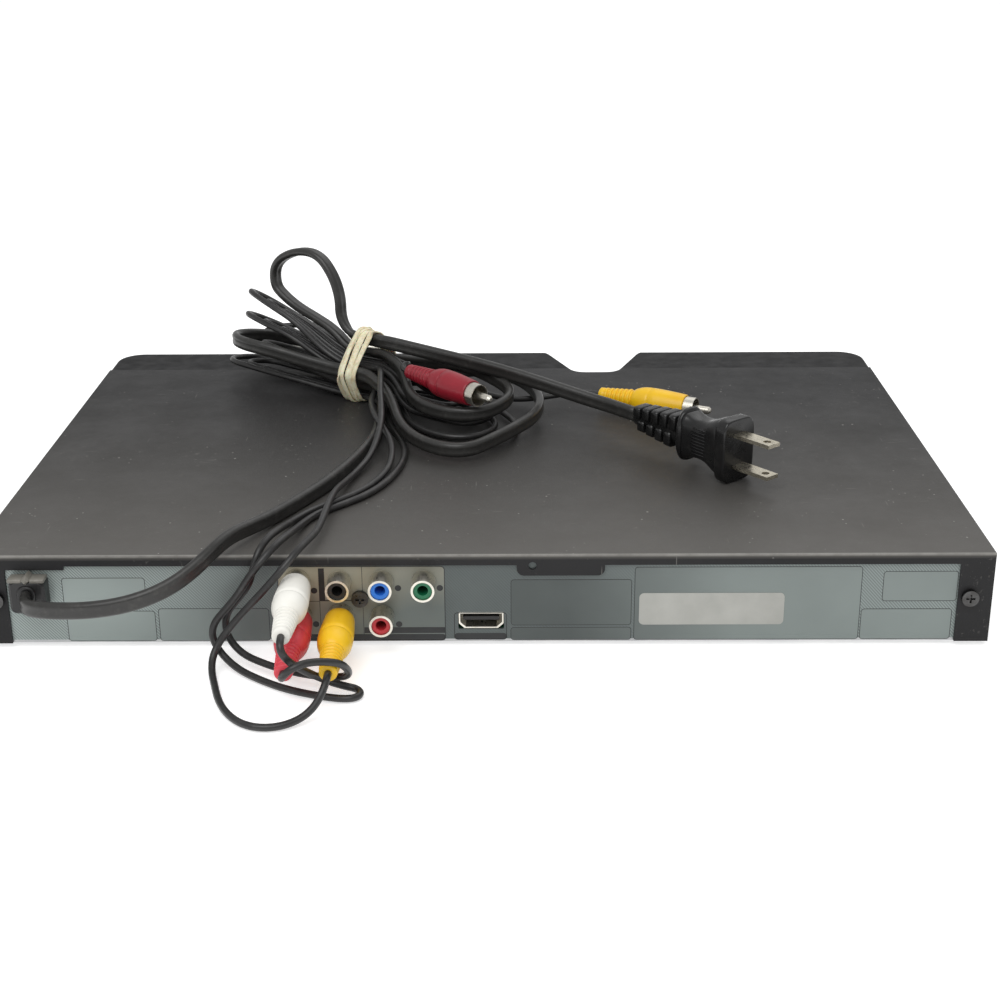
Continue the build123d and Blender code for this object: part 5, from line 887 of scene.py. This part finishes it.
show(mains_plug_body, "case", "mains_plug")
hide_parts("mains_plug")

# Fine raised lines on the grip's two faces, shorter and lower towards its edges
GRIP_MIDDLE = 40.0
bm = bmesh.new()
for side in (1, -1):
    for step in range(9):
        up = -5.2 + 1.3 * step
        half = 4.6 - 0.045 * up * up
        line = [(GRIP_MIDDLE - half, 0.16, 0.1), (GRIP_MIDDLE + 0.2 - half, 0.30, 0.34),
                (GRIP_MIDDLE - 0.2 + half, 0.30, 0.34), (GRIP_MIDDLE + half, 0.16, 0.1)]
        stacked(bm, plug_frame, line, 2.4, (up, side * (5.78 - 0.012 * up * up)))
grip_lines = bm_piece("mains_plug_grip_lines", bm)
show(grip_lines, "case", "mains_plug")
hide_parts("mains_plug")

# Gland: a clipped block with two pale ledges beside a ridge, over the lead's arched hole
gland_place = Vector((GLAND[0], 0.0, GLAND[2])) * MM
gland_at = Matrix.Translation(gland_place) @ Matrix.Rotation(radians(-90), 4, "X")
ledge = [(120.3, 2.3, 0.55), (120.6, 2.6, 0.75), (125.3, 2.6, 0.75), (125.7, 2.3, 0.5)]
bm = bmesh.new()
for side in (1, -1):
    stacked(bm, gland_at, ledge, 6.0, (side * 3.9, -6.15))
gland_ledges = bm_piece("gland_ledges", bm)
show(gland_ledges, "case", "ledge")
bm = bmesh.new()
ridge = [
    (119.4, 1.2, 1.0), (120.0, 1.6, 1.6), (124.6, 1.7, 1.7), (125.9, 1.3, 1.3), (126.2, 0.8, 0.9),
]
stacked(bm, gland_at @ Matrix.Translation((0.0, -6.4 * MM, 0.0)), ridge, 1.15)
gland_ridge = bm_piece("gland_ridge", bm)
show(gland_ridge, "case", "ledge")
bm = bmesh.new()
rim = [(125.6, 3.1, 3.7), (126.1, 3.3, 3.9), (126.5, 2.9, 3.5), (126.3, 2.2, 2.8)]
stacked(bm, gland_at @ Matrix.Translation((0.0, -0.6 * MM, 0.0)), rim, 2.6)
gland_mouth = bm_piece("gland_mouth", bm)
show(gland_mouth, "case", "black")

# Rubber bands: flat strands wound round the waist, skewed and twisted
BAND_CORNERS = [
    (-10.2, 36.95), (10.2, 36.95), (16.3, 50.2), (3.4, 65.6), (-3.4, 65.6), (-16.3, 50.2),
]
BAND_MIDDLE = 51.0
BAND_ROUNDING = 2.2
BAND_STEPS = 120
BAND_SECTION = [(-1, -1), (0, -1.15), (1, -1), (1.12, 0), (1, 1), (0, 1.15), (-1, 1), (-1.12, 0)]
TWIST_SPEED = 5.5


def band_strand(name, base, skew, phase, lift, width, thick, twist_at, seed):
    """One closed strand round the waist, half a turn twisted; skew shifts it along the bundle."""
    ring = []
    corners = [Vector((x, z)) for x, z in BAND_CORNERS]
    middle = Vector((0.0, BAND_MIDDLE))
    for index, corner in enumerate(corners):
        before, after = corners[index - 1], corners[(index + 1) % len(corners)]
        for other in (before, after):
            near = corner + (other - corner).normalized() * BAND_ROUNDING
            ring.append(near + (near - middle).normalized() * lift)
    guide = []
    total = len(ring)
    for step in range(BAND_STEPS):
        t = step / BAND_STEPS * total
        index = int(t)
        u = t - index
        a, b, c = ring[index - 1], ring[index % total], ring[(index + 1) % total]
        guide.append(a * 0.5 * (1 - u) ** 2 + b * (0.5 + u - u * u) + c * 0.5 * u * u)
    verts = []
    for step, (x, z) in enumerate(guide):
        angle = 2 * pi * step / BAND_STEPS
        ahead = guide[(step + 1) % BAND_STEPS] - guide[step - 1]
        way = (ACROSS * ahead.x + UP * ahead.y).normalized()
        outward = ALONG.cross(way).normalized()
        if outward.dot(ACROSS * x + UP * (z - BAND_MIDDLE)) < 0:
            outward.negate()
        waver = 0.35 * noise.noise(Vector((cos(angle) * 2.2, sin(angle) * 2.2, seed)))
        along = base + skew * sin(angle + phase) + waver
        spin = pi / (1 + exp(-(angle - twist_at) * TWIST_SPEED))
        wide = ALONG * cos(spin) + outward * sin(spin)
        flat = outward * cos(spin) - ALONG * sin(spin)
        uneven = noise.noise(Vector((cos(angle) * 3, sin(angle) * 3, seed + 4)))
        pinch = 1 - 0.25 * sin(spin) ** 2 + 0.12 * uneven
        centre = cell(x, z, along) + outward * (0.25 * sin(spin) ** 2 * width)
        for across, out in BAND_SECTION:
            place = centre + wide * across * width / 2 * pinch + flat * out * thick / 2
            verts.append(place * MM)
    rows = len(BAND_SECTION)
    faces = []
    for step in range(BAND_STEPS):
        for side in range(rows):
            a = step * rows + side
            b = step * rows + (side + 1) % rows
            c = ((step + 1) % BAND_STEPS) * rows
            # after half a twist the strand closes on its own turned section
            turned = rows // 2 if step == BAND_STEPS - 1 else 0
            faces.append((a, b, c + ((side + 1 + turned) % rows), c + ((side + turned) % rows)))
    piece = mesh_piece(name, verts, faces)
    show(piece, "case", "band")
    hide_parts("rubber_bands")


# Place along the bundle, skew, its phase, lift, width, thickness, angle of the twist, seed
STRANDS = {
    "a": (-3.1, 0.5, 0.4, 0.55, 2.2, 0.75, 3.9, 1.0),
    "b": (-1.2, -0.7, 1.2, 0.60, 2.0, 0.75, 1.7, 2.0),
    "c": (1.2, 1.3, 2.0, 0.75, 2.6, 0.70, 4.6, 3.0),
    "d": (2.9, -1.6, 2.9, 1.35, 2.4, 0.70, 2.4, 4.0),
    "e": (1.9, 0.9, 4.2, 1.90, 1.8, 0.65, 5.4, 5.0),
}
for letter, sizes in STRANDS.items():
    band_strand(f"band_strand_{letter}", *sizes)

# Prints on the rear panel: bare frames, bars and dots just proud of the sheet, in thin layers
PANEL_FACE = 119.25
PRINT_Y = PANEL_FACE + 0.04
LAYER = 0.02


def corners_of(x0, x1, z0, z1, corner):
    """A rounded rectangle's outline, seen from behind the player."""
    low_x, high_x, low_z, high_z = x0 + corner, x1 - corner, z0 + corner, z1 - corner
    points = []
    for centre_x, centre_z, first in ((high_x, high_z, 0), (low_x, high_z, 90),
                                      (low_x, low_z, 180), (high_x, low_z, 270)):
        for step in range(7):
            angle = radians(first + 15 * step)
            points.append((centre_x + corner * cos(angle), centre_z + corner * sin(angle)))
    return points


def print_face(bm, points, y):
    """One flat face at y that looks back from the panel."""
    bm.faces.new([bm.verts.new((x * MM, y * MM, z * MM)) for x, z in reversed(points)])


def print_ring(bm, box, corner, line, y=PRINT_Y):
    """A rounded frame of one line's width, inside its box."""
    x0, x1, z0, z1 = box
    outer = corners_of(x0, x1, z0, z1, corner)
    inner = corners_of(x0 + line, x1 - line, z0 + line, z1 - line, max(corner - line, 0.05))
    rings = [[bm.verts.new((x * MM, y * MM, z * MM)) for x, z in points]
             for points in (outer, inner)]
    count = len(outer)
    for step in range(count):
        after = (step + 1) % count
        bm.faces.new((rings[0][after], rings[0][step], rings[1][step], rings[1][after]))


def print_field(bm, box, corner, y=PRINT_Y):
    """A filled rounded rectangle."""
    print_face(bm, corners_of(*box, corner), y)


def print_disc(bm, x, z, radius, y=PRINT_Y):
    """A filled dot."""
    angles = [2 * pi * step / 24 for step in range(24)]
    print_face(bm, [(x + radius * cos(angle), z + radius * sin(angle)) for angle in angles], y)


# Each box is left, right, low, high
BARE_FIELDS = [
    (118.9, 148.4, 16.2, 27.2), (116.2, 147.9, 2.4, 14.3), (75.6, 115.1, 2.4, 15.2),
    (-53.1, -10.3, 8.2, 26.1), (-53.2, -10.2, 2.4, 7.5), (-167.7, -141.4, 17.3, 28.9),
    (-166.6, -134.4, 2.4, 14.4), (-134.0, -54.0, 2.4, 30.8),
]
FIELD_INSET = 0.2
SOCKET_FRAME = (12.9, 72.0, 2.3, 31.4)
SOCKET_FIELD = (13.0, 71.9, 2.4, 31.3)
SOCKET_BARS = [
    ((13.0, 71.9, 2.4, 4.9), 1.0), ((13.1, 41.9, 5.3, 7.6), 0.1), ((55.4, 57.5, 18.2, 30.6), 0.1),
    ((45.0, 57.5, 17.9, 18.3), 0.05), ((57.5, 71.9, 17.75, 17.95), 0.05),
    ((57.3, 57.5, 4.9, 18.2), 0.05), ((42.0, 42.2, 4.9, 31.2), 0.05),
]
SOCKET_DOTS = [(59.2, 22.0), (59.1, 8.9), (29.5, 22.9), (14.7, 22.9), (29.5, 8.8)]
HDMI_FRAME = (-8.9, 9.9, 2.6, 13.3)
HDMI_BAR = (-8.8, 9.8, 2.7, 5.2)
STICKER = (-107.1, -55.8, 8.4, 20.7)

ink = bmesh.new()
for box in BARE_FIELDS:
    print_ring(ink, box, 1.2, 0.22)
print_ring(ink, SOCKET_FRAME, 1.6, 0.28, PRINT_Y + LAYER)
print_ring(ink, HDMI_FRAME, 1.2, 0.28)
print_field(ink, HDMI_BAR, 1.1)
for box, corner in SOCKET_BARS:
    print_field(ink, box, corner, PRINT_Y + LAYER)
for x, z in SOCKET_DOTS:
    print_disc(ink, x, z, 1.15, PRINT_Y + LAYER)
rear_print = bm_piece("rear_print_ink", ink)
show(rear_print, "case", "ink", smooth=False)

fields = bmesh.new()
print_field(fields, SOCKET_FIELD, 1.5)
warm_field = bm_piece("rear_print_field", fields)
show(warm_field, "case", "warm", smooth=False)

fields = bmesh.new()
for x0, x1, z0, z1 in BARE_FIELDS:
    inner = (x0 + FIELD_INSET, x1 - FIELD_INSET, z0 + FIELD_INSET, z1 - FIELD_INSET)
    print_field(fields, inner, 1.0, PRINT_Y - LAYER)
bare_fields = bm_piece("rear_print_bare", fields)
show(bare_fields, "case", "field", smooth=False)

fields = bmesh.new()
for proud in (LAYER, LAYER + 0.05):
    print_field(fields, STICKER, 1.7, PRINT_Y + proud)
sticker = bm_piece("rear_sticker", fields)
show(sticker, "case", "sticker", smooth=False)

core_routes = {
    "white": (WHITE_LEAD, WHITE_COIL, WHITE_TAIL, 1.162),
    "red": (RED_LEAD, RED_COIL, RED_TAIL, 1.049),
    "yellow": (YELLOW_LEAD, YELLOW_COIL, YELLOW_TAIL, 1.082),
}
for core, (lead, coil, tail, length) in core_routes.items():
    piece = spline_object(f"av_core_{core}", lead + coil[1:] + tail, 1.3)
    show(piece, "case", "signal")
    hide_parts("av_leads", "av_hank", "av_tails")

# Floor, backdrop and light. The floor glows only for rays from the camera, mirrors and glass, and
# the world is full white only for rays from the camera
FLOOR_HALF = 6
FLOOR_GLOW = 0.54
WORLD_LIGHT = 0.55
floor = mesh_piece("floor", [(x * FLOOR_HALF, y * FLOOR_HALF, 0)
                             for x, y in ((-1, -1), (1, -1), (1, 1), (-1, 1))], [(0, 1, 2, 3)])
scene.collection.objects.link(floor)
floor_look = Look("floor_pale", color=(0.86, 0.86, 0.86), roughness=0.8)
rays = floor_look.node("ShaderNodeLightPath")
plain = floor_look.math("MAXIMUM", rays.outputs["Is Camera Ray"], rays.outputs["Is Glossy Ray"])
plain = floor_look.math("MAXIMUM", plain, rays.outputs["Is Transmission Ray"])
strength = floor_look.times(plain, FLOOR_GLOW)
glow = floor_look.node("ShaderNodeEmission", {"Color": (1, 1, 1), "Strength": strength})
layers = {0: floor_look.shader.outputs["BSDF"], 1: glow.outputs["Emission"]}
both = floor_look.node("ShaderNodeAddShader", layers)
surface = floor_look.tree.nodes["Material Output"].inputs["Surface"]
floor_look.feed(surface, both.outputs["Shader"])
floor.data.materials.append(floor_look.material)

world = bpy.data.worlds.new("studio")
scene.world = world
world.use_nodes = True
background = world.node_tree.nodes["Background"]
background.inputs["Color"].default_value = (1, 1, 1, 1)
rays = world.node_tree.nodes.new("ShaderNodeLightPath")
level = world.node_tree.nodes.new("ShaderNodeMapRange")
level.inputs["To Min"].default_value = WORLD_LIGHT
level.inputs["To Max"].default_value = 1.0
world.node_tree.links.new(rays.outputs["Is Camera Ray"], level.inputs["Value"])
world.node_tree.links.new(level.outputs["Result"], background.inputs["Strength"])


def lamp(name, place, aim, size, power):
    """A soft rectangular lamp that looks at its aim."""
    data = bpy.data.lights.new(name, "AREA")
    data.shape = "RECTANGLE"
    data.size, data.size_y = size
    data.energy = power
    obj = bpy.data.objects.new(name, data)
    turned = (Vector(place) - Vector(aim)).to_track_quat("Z", "Y").to_matrix().to_4x4()
    obj.matrix_world = Matrix.Translation(place) @ turned
    scene.collection.objects.link(obj)


AIM = (0, 0, 0.02)
lamp("key", (0.35, 1.0, 1.35), AIM, (1.4, 1.2), 14)
lamp("front_fill", (-0.5, -0.9, 1.4), AIM, (1.4, 1.4), 5)
